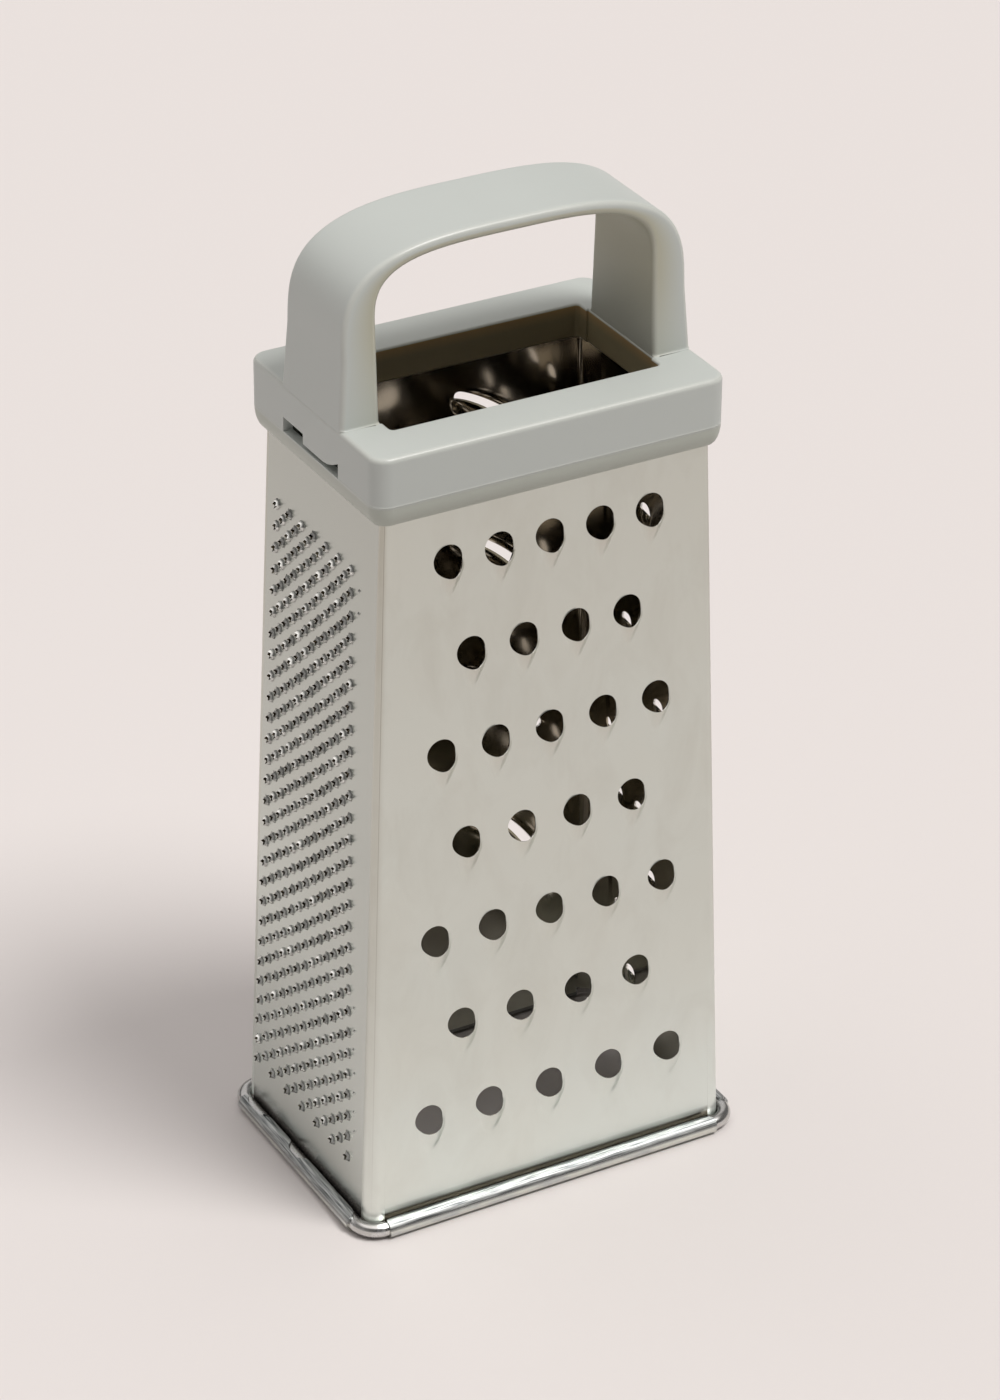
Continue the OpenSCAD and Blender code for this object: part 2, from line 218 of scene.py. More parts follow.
class Finish:
    """The nodes of one material or of the world, and the way to add one more."""

    def __init__(self, owner):
        self.owner = owner
        owner.use_nodes = True
        self.tree = owner.node_tree
        self.tree.nodes.clear()

    def add(self, kind, settings=None, sockets=None, output=0):
        """Adds a node, makes its settings, fills its sockets and returns an output."""
        node = self.tree.nodes.new(kind)
        for key, value in (settings or {}).items():
            if key == "stops":
                ramp = node.color_ramp
                while len(ramp.elements) < len(value):
                    ramp.elements.new(0.5)
                for element, (position, level) in zip(ramp.elements, value):
                    element.position = position
                    element.color = (level, level, level, 1)
            else:
                setattr(node, key, value)
        for key, value in (sockets or {}).items():
            self.fill(self.find(node.inputs, key), value)
        return None if output is None else Value(self, self.find(node.outputs, output))

    def find(self, sockets, key):
        """The socket with that place, name or identifier."""
        if isinstance(key, int):
            return sockets[key]
        return next(s for s in sockets if key in (s.identifier, s.name))

    def fill(self, socket, value):
        """Links a socket or sets its number or colour."""
        if isinstance(value, Value):
            self.tree.links.new(value.socket, socket)
        elif socket.type == "RGBA":
            socket.default_value = (*value[:3], 1)
        else:
            socket.default_value = value

    def sum(self, operation, first, second):
        """One Math node on two values or numbers."""
        return self.add("ShaderNodeMath", {"operation": operation}, {0: first, 1: second})

    def place(self):
        """The point of the object, in metres."""
        return self.add("ShaderNodeTexCoord", output="Object")

    def own_number(self, name):
        """The number that the piece carries under a name, or 0 where it has none."""
        return self.add("ShaderNodeAttribute", {"attribute_name": name}, output="Fac")

    def own_lengths(self):
        """The lengths along and round a strip or wire, in metres, from its own map."""
        return self.add("ShaderNodeUVMap", {"uv_map": "along"}, output="UV")

    def part(self, vector, axis):
        """One coordinate of a point or a direction."""
        return self.add("ShaderNodeSeparateXYZ", sockets={"Vector": vector}, output=axis)

    def stretched(self, place, scale):
        """The point with each axis scaled, which stretches a pattern along the small ones."""
        return self.add("ShaderNodeMapping", {"vector_type": "POINT"},
                        {"Vector": place, "Scale": scale})

    def noise(self, place, size, detail=2.0, roughness=0.5, distortion=0.0):
        """Noise from 0 to 1 whose blots are about the given size in metres."""
        return self.add("ShaderNodeTexNoise", {"noise_dimensions": "3D"},
                        {"Vector": place, "Scale": 1 / size, "Detail": detail,
                         "Roughness": roughness, "Distortion": distortion})

    def between(self, value, low, high):
        """0 up to the value low and 1 from the value high, with an even rise between."""
        return self.add("ShaderNodeMapRange", {"clamp": True},
                        {"Value": value, "From Min": low, "From Max": high}, "Result")

    def upward(self, place, low, high):
        """0 up to the height low and 1 from the height high, with an even rise between."""
        return self.between(self.part(place, "Z"), low, high)

    def foot_shade(self, place, low, high):
        """1 up to the height low and 0 from the height high, with an even fall between."""
        return 1.0 - self.upward(place, low, high)

    def ramp(self, value, stops):
        """The value carried through a grey ramp of (position, level) stops."""
        return self.add("ShaderNodeValToRGB", {"stops": stops}, {"Fac": value}, "Color")

    def blend(self, share, first, second):
        """The colour that lies the given share of the way from first to second."""
        return self.add("ShaderNodeMix", {"data_type": "RGBA"},
                        {"Factor_Float": share, "A_Color": first, "B_Color": second},
                        "Result_Color")

    def bump(self, height, depth, below=None):
        """The surface's direction over a relief of the given depth in metres."""
        sockets = {"Height": height, "Strength": 1.0, "Distance": depth}
        if below is not None:
            sockets["Normal"] = below
        return self.add("ShaderNodeBump", sockets=sockets)

    def surface(self, **sockets):
        """Ends the material with one surface shader; spaces in names are written _."""
        shader = self.add("ShaderNodeBsdfPrincipled", sockets={
            key.replace("_", " "): value for key, value in sockets.items()})
        self.add("ShaderNodeOutputMaterial", sockets={"Surface": shader}, output=None)
        return self.owner


def new_finish(name):
    """A fresh material to fill."""
    return Finish(bpy.data.materials.new(name))


def rolled_steel(f, place, colours):
    """The colour of rolled sheet, in warm and cool clouds, and its fine upright grain."""
    clouds = f.ramp(f.noise(place, 34 * MM, 3.0, 0.55), [(0.35, 0), (0.65, 1)])
    grain = f.noise(f.stretched(place, (1, 1, 0.12)), 0.16 * MM, 2.0, 0.6)
    return f.blend(clouds, colours.steel_warm, colours.steel_cool), grain


def satin_steel(colours):
    """Rolled satin sheet: warm and cool clouds, a fine upright grain and faint smudges.

    Painted shade makes it darker upwards, and more so where a bend turns to a side face.
    The ramps of the teeth of the upper rows are browner with painted shade, a painted dark
    reflection runs up each bend as a brown line, and painted shade lies along the foot.
    """
    f = new_finish("satin_sheet_steel")
    # painted shade: the colour that the sheet turns to towards its top
    upper = (0.46, 0.45, 0.39)
    # painted shade on the ramps of the teeth
    tooth_painted_shade = (0.50, 0.43, 0.36)
    # a painted dark reflection along each bend
    bend_painted_reflection = (0.22, 0.18, 0.15)
    # painted shade along the foot of the sheet
    foot = (0.10, 0.09, 0.07)
    place = f.place()
    height = f.upward(place, 0.0, SHEET_TOP)
    rolled, grain = rolled_steel(f, place, colours)
    smudge = f.noise(f.stretched(place, (1, 1, 0.5)), 11 * MM, 4.0, 0.6, 0.6)
    wave = f.noise(place, 40 * MM, 1.0, 0.4)
    side = f.own_number("side")
    bend = f.own_number("bend")
    # painted shade: the share of the rolled colour falls upwards
    pale = f.ramp(height, [(0, 0.94), (0.1, 0.8), (0.2, 0.62), (0.35, 0.5), (0.6, 0.44),
                           (1, 0.28)])
    pale = pale + 0.1 * f.ramp(smudge, [(0.3, 0), (0.55, 1)])
    # painted shade, deeper on the side half of each bend
    colour = f.blend(pale - 0.35 * side * height ** 0.5, upper, rolled)
    # painted shade on the teeth, stronger in the upper rows
    colour = f.blend(0.4 * f.own_number("raised") * height, colour, tooth_painted_shade)
    # painted dark reflection: a brown line up each bend
    line = f.ramp(side, [(0.64, 0), (0.73, 1), (0.82, 0)])
    colour = f.blend(0.9 * line * bend * height, colour, bend_painted_reflection)
    # painted shade along the foot, from 4.4 to 6.2 mm up, not on the bends
    under = f.foot_shade(place, 4.4 * MM, 6.2 * MM) * (1 - bend)
    colour = f.blend(under, colour, foot)
    roughness = 0.25 + 0.08 * smudge + 0.03 * grain
    relief = f.bump(wave, 0.12 * MM)
    return f.surface(Base_Color=colour, Metallic=1.0, Roughness=roughness,
                     Normal=f.bump(grain, 0.003 * MM, relief))


def bright_inside(colours):
    """Inner face of the sheet: nearly a mirror, slightly wavy, with a thin haze.

    Painted shade makes it darker and browner from 12 to 50 mm above the floor.
    """
    f = new_finish("bright_inner_steel")
    place = f.place()
    wave = f.noise(place, 16 * MM, 2.0, 0.5)
    haze = f.noise(place, 5 * MM, 4.0, 0.6)
    low = f.blend(haze, [0.9 * c for c in colours.steel_bright], colours.steel_bright)
    # painted shade inside the body, dark and brown
    high = f.blend(haze, (0.34, 0.30, 0.23), (0.46, 0.42, 0.34))
    # painted shade from 12 to 50 mm up
    colour = f.blend(f.upward(place, 12 * MM, 50 * MM), low, high)
    return f.surface(Base_Color=colour, Metallic=1.0, Roughness=0.05 + 0.10 * haze,
                     Normal=f.bump(wave, 0.10 * MM))


def torn_edge(_colours):
    """Sheared and torn metal: bright, with ragged fine lines across the thickness."""
    f = new_finish("torn_edge_steel")
    place = f.place()
    ragged = f.noise(place, 0.12 * MM, 3.0, 0.6)
    broad = f.noise(place, 1.5 * MM, 2.0, 0.5)
    colour = f.blend(broad, (0.62, 0.60, 0.56), (0.80, 0.80, 0.78))
    return f.surface(Base_Color=colour, Metallic=1.0, Roughness=0.16 + 0.16 * ragged,
                     Normal=f.bump(ragged, 0.012 * MM))


def burred_steel(colours):
    """Satin steel of the fine face, with a painted highlight that turns the burrs pale.

    Painted shade makes it darker upwards. A skirt of painted shade lies round every
    burr, and painted shade lies along the foot.
    """
    f = new_finish("burred_sheet_steel")
    # painted shade towards the top of the fine face
    upper = (0.405, 0.415, 0.38)
    # painted shade along the foot
    foot = (0.20, 0.19, 0.18)
    # the pale colour of the painted highlight on the burrs
    burr = (0.88, 0.88, 0.85)
    # painted shade round each burr
    burr_painted_shade = (0.10, 0.10, 0.09)
    place = f.place()
    raised = f.own_number("raised")
    rolled, grain = rolled_steel(f, place, colours)
    # painted shade: the share of the rolled colour falls upwards
    pale = f.ramp(f.upward(place, 0.0, SHEET_TOP),
                  [(0, 0.72), (0.15, 0.84), (0.3, 0.7), (0.5, 0.32), (1, 0.12)])
    colour = f.blend(pale, upper, rolled)
    # painted shade along the foot, from 4.4 to 7 mm up
    colour = f.blend(f.foot_shade(place, 4.4 * MM, 7 * MM), colour, foot)
    # painted highlight: the burrs turn pale towards their rims
    colour = f.blend(raised, colour, burr)
    # painted shade in a skirt round every burr
    skirt = f.ramp(raised, [(0.05, 0), (0.25, 1), (0.6, 1), (0.8, 0)])
    colour = f.blend(0.5 * skirt, colour, burr_painted_shade)
    roughness = 0.24 + 0.04 * grain - 0.18 * raised
    # the burrs are less metallic, which keeps the painted highlight pale
    metallic = 1.0 - 0.3 * f.ramp(raised, [(0.35, 0), (0.8, 1)])
    return f.surface(Base_Color=colour, Metallic=metallic, Roughness=roughness,
                     Normal=f.bump(grain, 0.0008 * MM))


def hem_finish(colours):
    """Curled sheet: bright, with long scratches and bands of painted shade along each side.

    The bands follow the length round the hem: underneath, and as a dark line below its
    upper outer part. That part, where the lamp's highlight falls, is a rougher strip
    darkened with painted shade, whose scratches run from dark to pale.
    """
    f = new_finish("bright_hem_steel")
    patch = (0.52, 0.54, 0.55)
    # painted shade in bands along the hem
    hem_painted_shade = (0.22, 0.225, 0.23)
    # the dark end of the scratches, darkened as painted shade
    scratch_in_painted_shade = (0.13, 0.14, 0.145)
    pale_scratch = (0.66, 0.68, 0.67)
    lengths = f.own_lengths()
    lines = f.noise(f.stretched(lengths, (1, 30, 1)), 9 * MM, 3.0, 0.6)
    patches = f.noise(f.stretched(lengths, (1, 3, 1)), 7 * MM, 3.0, 0.55)
    fine = f.noise(f.place(), 0.3 * MM, 2.0, 0.5)
    colour = f.blend(f.ramp(patches, [(0.3, 0), (0.6, 1)]), patch, colours.steel_hem)
    round_hem = f.between(f.part(lengths, "Y") + 0.3 * MM * patches, HEM_UNDER, HEM_END)
    # painted shade: underneath, and a dark line below the upper outer strip
    dull = f.ramp(round_hem, [(0.0, 0.7), (0.14, 0.1), (0.5, 0.0), (0.545, 0.8),
                              (0.585, 0.8), (0.61, 0.6)])
    colour = f.blend(dull, colour, hem_painted_shade)
    # painted shade over the strip where the lamp's highlight falls, in scratches
    glare = f.ramp(round_hem, [(0.57, 0), (0.62, 1)])
    scratched = f.blend(f.ramp(lines, [(0.36, 0), (0.62, 1)]), scratch_in_painted_shade, pale_scratch)
    colour = f.blend(glare, colour, scratched)
    roughness = 0.12 + 0.09 * f.ramp(lines, [(0.45, 0), (0.75, 1)]) + 0.04 * fine + 0.33 * glare
    return f.surface(Base_Color=colour, Metallic=1.0, Roughness=roughness,
                     Normal=f.bump(lines, 0.015 * MM))


def wire_finish(colours):
    """Drawn wire: bright, with fine lines along its length and small dull spots."""
    f = new_finish("drawn_wire_steel")
    lines = f.noise(f.stretched(f.own_lengths(), (1, 40, 1)), 12 * MM, 3.0, 0.6)
    spots = f.noise(f.place(), 2.2 * MM, 3.0, 0.6)
    colour = f.blend(f.ramp(spots, [(0.4, 0), (0.65, 1)]), (0.58, 0.57, 0.55), colours.wire)
    roughness = 0.18 + 0.12 * lines + 0.10 * f.ramp(spots, [(0.55, 0), (0.7, 1)])
    return f.surface(Base_Color=colour, Metallic=1.0, Roughness=roughness,
                     Normal=f.bump(lines, 0.012 * MM))


def satin_plastic(colours):
    """Moulded plastic: soft satin, orange peel, and creamier and lighter on rounded edges.

    Painted shade makes it greyer below the parting line. Inside, the number that the piece
    carries turns it first to a yellowish painted shade and then to a brown painted shade,
    with a band of warmer painted light just under the collar's top.
    """
    f = new_finish("grey_moulded_plastic")
    # painted shade on the band below the parting line
    below_parting = (0.45, 0.47, 0.39)
    # a warm painted shade on inner faces
    inner_painted_shade = (0.47, 0.45, 0.33)
    # painted shade inside the mouth
    mouth_painted_shade = (0.30, 0.255, 0.15)
    # painted light near the top of the mouth's inner wall
    mouth_painted_light = (0.46, 0.31, 0.15)
    place = f.place()
    edge = f.own_number("edge")
    inner = f.own_number("inner")
    flow = f.noise(f.stretched(place, (1, 1, 0.6)), 30 * MM, 3.0, 0.5, 0.4)
    peel = f.noise(place, 0.55 * MM, 2.0, 0.5)
    speck = f.noise(place, 0.18 * MM, 1.0, 0.5)
    body = f.blend(flow, [0.97 * c for c in colours.plastic], [1.03 * c for c in colours.plastic])
    # painted shade below the parting line
    under = f.ramp(f.upward(place, PARTING_Z - 0.6 * MM, PARTING_Z), [(0.0, 0.55), (1.0, 0.0)])
    body = f.blend(under, body, below_parting)
    # painted warm shade where the piece's inner number is set
    body = f.blend(f.ramp(inner, [(0, 0), (0.3, 1)]), body, inner_painted_shade)
    # painted light in a band just under the collar's top, inside the mouth
    top_painted_light = f.upward(place, COLLAR_TOP - 3 * MM, COLLAR_TOP - 0.3 * MM)
    brown = f.blend(top_painted_light, mouth_painted_shade, mouth_painted_light)
    # painted shade inside the mouth, with its band of painted light
    body = f.blend(f.ramp(inner, [(0.5, 0), (1, 1)]), body, brown)
    colour = f.blend(0.35 * edge, body, colours.plastic_edge)
    roughness = 0.36 + 0.07 * flow + 0.05 * speck - 0.15 * edge
    relief = f.bump(peel, 0.005 * MM)
    return f.surface(Base_Color=colour, Roughness=roughness, IOR=1.46,
                     Normal=f.bump(speck, 0.0015 * MM, relief))


def floor_finish(colours):
    """Pale, matt studio floor with hardly any texture.

    Rays that neither the camera nor a reflection sends see it a little darker.
    """
    f = new_finish("pale_floor")
    fibre = f.noise(f.place(), 1.5 * MM, 3.0, 0.6)
    shade = f.blend(fibre, [0.995 * c for c in colours.floor], [1.005 * c for c in colours.floor])
    by_camera = f.add("ShaderNodeLightPath", output="Is Camera Ray")
    by_mirror = f.add("ShaderNodeLightPath", output="Is Glossy Ray")
    shade = f.blend(0.22 * (1 - (by_camera + by_mirror)), shade, (0.0, 0.0, 0.0))
    return f.surface(Base_Color=shade, Roughness=0.9 + 0.05 * fibre, Specular_IOR_Level=0.0)


MAKERS = {
    "satin": satin_steel,
    "burred": burred_steel,
    "inside": bright_inside,
    "torn": torn_edge,
    "hem": hem_finish,
    "wire": wire_finish,
    "plastic": satin_plastic,
    "floor": floor_finish,
}
MADE = {}


def finish_named(name):
    """A material of the list above, made on its first use."""
    if name not in MADE:
        MADE[name] = MAKERS[name](bpy.context.scene.grater_colours)
    return MADE[name]


def grid_quads(rows, columns, closed_rows=False, closed_columns=False):
    """Corners of the quads between neighbouring points of a grid.

    A point's number is its row times the count of columns plus its column.
    """
    row = np.arange(rows if closed_rows else rows - 1)[:, None]
    column = np.arange(columns if closed_columns else columns - 1)[None, :]
    next_row = (row + 1) % rows
    next_column = (column + 1) % columns
    corners = [row * columns + column, next_row * columns + column,
               next_row * columns + next_column, row * columns + next_column]
    return np.stack([c.ravel() for c in corners], axis=1)


def make_piece(name, points, faces, finishes, values=None, along=None):
    """A mesh object at the origin from points (n, 3) and lists of corners.

    values holds one number per point under a name, and along holds two numbers per
    point that become the UV map of that name.
    """
    mesh = bpy.data.meshes.new(name)
    mesh.from_pydata(np.asarray(points, float).reshape(-1, 3), [], faces)
    for label, numbers in (values or {}).items():
        layer = mesh.attributes.new(label, "FLOAT", "POINT")
        layer.data.foreach_set("value", np.asarray(numbers, np.float32).ravel())
    if along is not None:
        corner = np.zeros(len(mesh.loops), np.int32)
        mesh.loops.foreach_get("vertex_index", corner)
        lengths = np.asarray(along, np.float32).reshape(-1, 2)[corner]
        layer = mesh.uv_layers.new(name="along")
        layer.uv.foreach_set("vector", lengths.ravel())
    for finish in finishes:
        mesh.materials.append(finish_named(finish))
    mesh.shade_smooth()
    piece = bpy.data.objects.new(name, mesh)
    bpy.context.scene.collection.objects.link(piece)
    return piece


def settle(piece, sharp_angle):
    """Applies the modifiers and marks every edge that turns more than the angle as sharp."""
    bpy.context.view_layer.update()
    shown = piece.evaluated_get(bpy.context.evaluated_depsgraph_get())
    plain = piece.data
    piece.data = bpy.data.meshes.new_from_object(shown)
    piece.data.name = piece.name
    piece.modifiers.clear()
    bpy.data.meshes.remove(plain)
    piece.data.shade_smooth()
    piece.data.set_sharp_from_angle(angle=math.radians(sharp_angle))


def give_wall(piece, thickness, inside=1, rim=2, thin_share=None):
    """Thickens a surface inwards; the inner face and the rim take other materials."""
    wall = piece.modifiers.new("wall", "SOLIDIFY")
    wall.thickness = thickness
    wall.offset = -1
    wall.material_offset = inside
    wall.material_offset_rim = rim
    if thin_share is not None:
        wall.vertex_group = "full"
        wall.thickness_vertex_group = thin_share


def hand_in(piece, slot, *nodes):
    """Ties a finished piece to the model: its body and its nodes. Its material slot is not used."""
    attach(piece, "root")
    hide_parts(*nodes)


class Wall:
    """One flat side of the body, with u across it, v up it and w out of it.

    A point lies at v times the wall's slope plus w times its outward direction from
    the wall's foot, turned about the vertical to the side that it faces.
    """

    def __init__(self, across, turn):
        depth = 1 - across
        self.across = across
        self.turn = math.radians(turn)
        self.reach = BASE_HALF[depth]
        self.lean = math.atan((BASE_HALF[depth] - TOP_HALF[depth]) / SHEET_TOP)

    def up_to(self, z):
        """Distances up the wall that lie at the heights z."""
        return np.asarray(z) / math.cos(self.lean)

    def half(self, z):
        """Half width of the flat part at height z, where the corner strips begin."""
        return body_half(z)[..., self.across] - bend_radius(z) - BEND_STRIP

    def outline(self):
        """The four corners of the flat part, counter-clockwise as seen from outside."""
        low = self.half(WIRE_Z)
        top = self.half(SHEET_TOP)
        foot = self.up_to(WIRE_Z)
        head = self.up_to(SHEET_TOP)
        return np.array([(-low, foot), (low, foot), (top, head), (-top, head)])

    def place(self, local):
        """Carries points (..., 3) of u, v, w into the model's frame."""
        u, v, w = np.moveaxis(np.asarray(local, float), -1, 0)
        out = -self.reach + v * math.sin(self.lean) - w * math.cos(self.lean)
        up = v * math.cos(self.lean) + w * math.sin(self.lean)
        x = u * math.cos(self.turn) - out * math.sin(self.turn)
        y = u * math.sin(self.turn) + out * math.cos(self.turn)
        return np.stack([x, y, up], axis=-1)


COARSE_WALL = Wall(0, 0)
MEDIUM_WALL = Wall(1, 90)
SLICING_WALL = Wall(0, 180)
FINE_WALL = Wall(1, -90)


def flat_web(outline, rings):
    """Triangles of a flat sheet with holes: outline (n, 2), rings a list of (holes, m, 2).

    The corners count the outline's points first and the rings' points after them. The
    triangles whose three corners lie on one ring fill that hole and are left out.
    """
    points = np.concatenate([outline] + [r.reshape(-1, 2) for r in rings]) / MM
    owner = [-1 - np.arange(len(outline))]
    edges = [np.stack([np.arange(len(outline)), np.roll(np.arange(len(outline)), -1)], axis=-1)]
    start = len(outline)
    hole = 0
    for r in rings:
        number = np.arange(r.shape[0] * r.shape[1]).reshape(r.shape[:2]) + start
        edges.append(np.stack([number, np.roll(number, -1, axis=1)], axis=-1).reshape(-1, 2))
        owner.append(np.repeat(np.arange(r.shape[0]) + hole, r.shape[1]))
        start += number.size
        hole += r.shape[0]
    edges = np.concatenate(edges).tolist()
    made = delaunay_2d_cdt([Vector(p) for p in points], edges, [], 1, 1e-6)
    if len(made[0]) != len(points):
        raise ValueError("two holes of a wall touch or reach past its edge")
    original = np.array([sources[0] for sources in made[3]])
    triangles = original[np.array(made[2])]
    owner = np.concatenate(owner)[triangles]
    filling = (owner[:, 0] == owner[:, 1]) & (owner[:, 1] == owner[:, 2])
    return triangles[~filling]


def formed_wall(name, node, wall, groups, outer="satin", sharp=38):
    """Makes a wall's sheet: a flat web and a patch of formed metal round every hole.

    groups lists arrays (holes, rings, m, 3) of u, v, w, whose last ring lies flat in the
    sheet. Each comes with two numbers per point, how far the metal is raised, which the
    finishes paint as highlight and shade, and how much of its thickness is left, and True
    where its innermost ring is a closed face.
    """
    outline = wall.outline()
    points = [np.concatenate([outline, np.zeros((len(outline), 1))], axis=1)]
    raised_share = [np.zeros(len(outline))]
    fullness = [np.ones(len(outline))]
    faces = []
    rings = []
    lookup = [np.arange(len(outline))]
    start = len(outline)
    for patch, raised, full, closed in groups:
        holes, depth, m = patch.shape[:3]
        offsets = (np.arange(holes) * depth * m + start)[:, None]
        quads = grid_quads(depth, m, closed_columns=True)
        faces += (quads[None] + offsets[..., None]).reshape(-1, 4).tolist()
        if closed:
            faces += (np.arange(m) + offsets).tolist()
        rings.append(patch[:, -1, :, :2])
        lookup.append((np.arange((depth - 1) * m, depth * m) + offsets).ravel())
        points.append(patch.reshape(-1, 3))
        raised_share.append(np.broadcast_to(raised, patch.shape[:3]).ravel())
        fullness.append(np.broadcast_to(full, patch.shape[:3]).ravel())
        start += holes * depth * m
    faces += np.concatenate(lookup)[flat_web(outline, rings)].tolist()
    piece = make_piece(name, wall.place(np.concatenate(points)), faces,
                       (outer, "inside", "torn"), values={"raised": np.concatenate(raised_share)})
    group = piece.vertex_groups.new(name="full")
    level = np.round(np.concatenate(fullness), 1)
    for share in np.unique(level):
        group.add(np.flatnonzero(level == share).tolist(), float(share), "REPLACE")
    give_wall(piece, bpy.context.scene.grater_sheet.thickness, thin_share=0.2)
    settle(piece, sharp)
    hand_in(piece, "sheet_steel", node)


def staggered(rows, counts, steps, reach):
    """Middles (n, 2) of holes in rows of alternating counts, and how far up each one is.

    The step between neighbours and the distance up the wall both go evenly from their
    first value, in the lowest row, to their second, in the top row. How far up a hole is
    goes from 0 to 1.
    """
    row = np.repeat(np.arange(rows), [counts[r % 2] for r in range(rows)])
    index = np.concatenate([np.arange(counts[r % 2]) for r in range(rows)])
    count = np.array(counts)[row % 2]
    up = row / (rows - 1)
    u = (index - (count - 1) / 2) * mix(*steps, up)
    return np.stack([u, mix(*reach, up)], axis=-1), up


def full_turn(steps):
    """Angles of evenly spaced points round a closed ring."""
    return np.linspace(0, 2 * math.pi, steps, endpoint=False)


def tooth_patches(centres, radius, lift, drop, fold, reach, steps, margin, rng):
    """Grating teeth: full round holes whose lower edge stands up as the mouth of a ramp.

    A point at angle a and share t lies between the rim, radius times (cos a, sin a) with
    its lower half drawn down by the drop, and an egg that clears the ramp. The ramp's
    ridge falls straight from the lift at the rim to nothing at the reach. Its half width
    is radius times (1 - (y / reach) ^ p), where p falls evenly from 2.4 at a fold of 0.75
    to 1.6 at 1.25. Its section is the bow 1 - s squared to the power fold, with s the
    share of that half width, run out softly to nothing. The bow's middle stands to the
    right, by 0.3 of the radius less what falls off downwards. The ramp sets in over 0.8
    of the radius below the hole's middle. The upper left of the rim stands up a little as
    a lip, differently for every hole.
    """
    lip_bearing = math.radians(128)
    lip_width = 0.45 * MM
    lip_rise = 0.14 * MM
    angle = full_turn(steps)
    share = np.array([0, 0.035, 0.09, 0.17, 0.27, 0.39, 0.52, 0.68, 0.9, 1.0])[:, None]
    thinned = np.array([1, 0.8, 0.5, 0.25, 0.1, 0, 0, 0, 0, 0])[:, None]
    lower = np.sin(angle) < 0
    lift, drop, fold = (np.broadcast_to(v, len(centres))[:, None, None]
                        for v in (lift, drop, fold))
    low_scale = np.where(lower, 1 + drop / radius, 1.0)
    rim_x = np.broadcast_to(radius * np.cos(angle), low_scale.shape)
    rim_y = radius * np.sin(angle) * low_scale
    egg_x = (radius + margin) * np.cos(angle)
    egg_y = np.where(lower, reach + margin, radius + margin) * np.sin(angle)
    x = mix(rim_x, egg_x, share)
    y = mix(rim_y, egg_y, share)
    down = np.clip(-y / reach, 0, 1)
    half_width = radius * (1 - down ** (2.4 - 1.6 * (fold - 0.75))) + 1e-9
    bow = 1 - ((x - 0.3 * radius * (1 - down)) / half_width) ** 2
    section = ((bow + np.sqrt(bow ** 2 + 0.012 * fold ** 6)) / 2) ** fold
    ridge = np.clip((reach + y) / (reach - radius), 0, 1.35)
    ramp = ridge * section * smooth_step(0, 0.8 * radius, -y)
    ramp = ramp * (1 - smooth_step(0.5, 0.9, share))
    off_rim = np.hypot(x - rim_x, y - rim_y)
    lip = np.clip(1 - off_rim / lip_width, 0, 1) ** 2
    lip = lip * smooth_step(0.55, 0.95, np.cos(angle - lip_bearing))
    w = lift * ramp + lip * rng.uniform(0, lip_rise, len(centres))[:, None, None]
    patch = np.stack([centres[:, :1, None] + x, centres[:, 1:, None] + y, w], axis=-1)
    full = 1 - (1 - smooth_step(-0.3, 0.1, np.sin(angle))) * thinned
    return patch, np.clip(ramp, 0, 1), full, False


def ring_patches(centres, reach, bearing, height):
    """Patches of rings round the centres: a reach, a bearing and a height per point."""
    x = centres[:, None, None, 0] + reach * np.cos(bearing)
    y = centres[:, None, None, 1] + reach * np.sin(bearing)
    return np.stack([x, y, np.broadcast_to(height, x.shape)], axis=-1)


def burr_patches(centres, radius, height, steps, rng):
    """Burrs: punched holes whose edge is torn into four points that stand out.

    The rim is a star: with p going evenly from 1 at a point to 0 between two points, its
    radius and its height both grow with p. The rim's height falls over a share t of the
    way to the foot as (1 - t) ^ 1.4, and one more ring lies flat just outside the foot.
    Every burr has its own turn, height and ragged edge.
    """
    angle = full_turn(steps)
    share = np.array([0, 0.38, 1.0, 1.0])[:, None]
    outside = radius * np.array([0, 0, 0, 0.13])[:, None]
    turn = rng.uniform(-0.2, 0.2, (len(centres), 1, 1))
    ragged = rng.uniform(-1, 1, (len(centres), 1, steps))
    saw = np.abs((4 * angle / (2 * math.pi)) % 1 - 0.5) * 2
    tall = rng.uniform(0.88, 1.0, (len(centres), 1, 1))
    rim_height = height * tall * (0.55 + 0.45 * saw) * (1 + 0.1 * ragged)
    rim_radius = radius * (0.48 + 0.08 * saw + 0.04 * ragged)
    reach = mix(rim_radius, 0.88 * radius, share) + outside
    patch = ring_patches(centres, reach, angle + turn, rim_height * (1 - share) ** 1.4)
    raised = np.array([1, 0.85, 0.1, 0])[:, None]
    full = np.array([0, 0.4, 0.9, 1])[:, None]
    return patch, raised, full, False


def prick_patches(centres, radius, height, steps):
    """Small closed pimples, where a punch has hardly marked the sheet."""
    share = np.array([0.1, 0.4, 0.8, 1.0])[:, None]
    rise = np.array([1, 0.55, 0, 0])[:, None]
    patch = ring_patches(centres, radius * share, full_turn(steps), height * rise)
    return patch, rise, 1.0, True


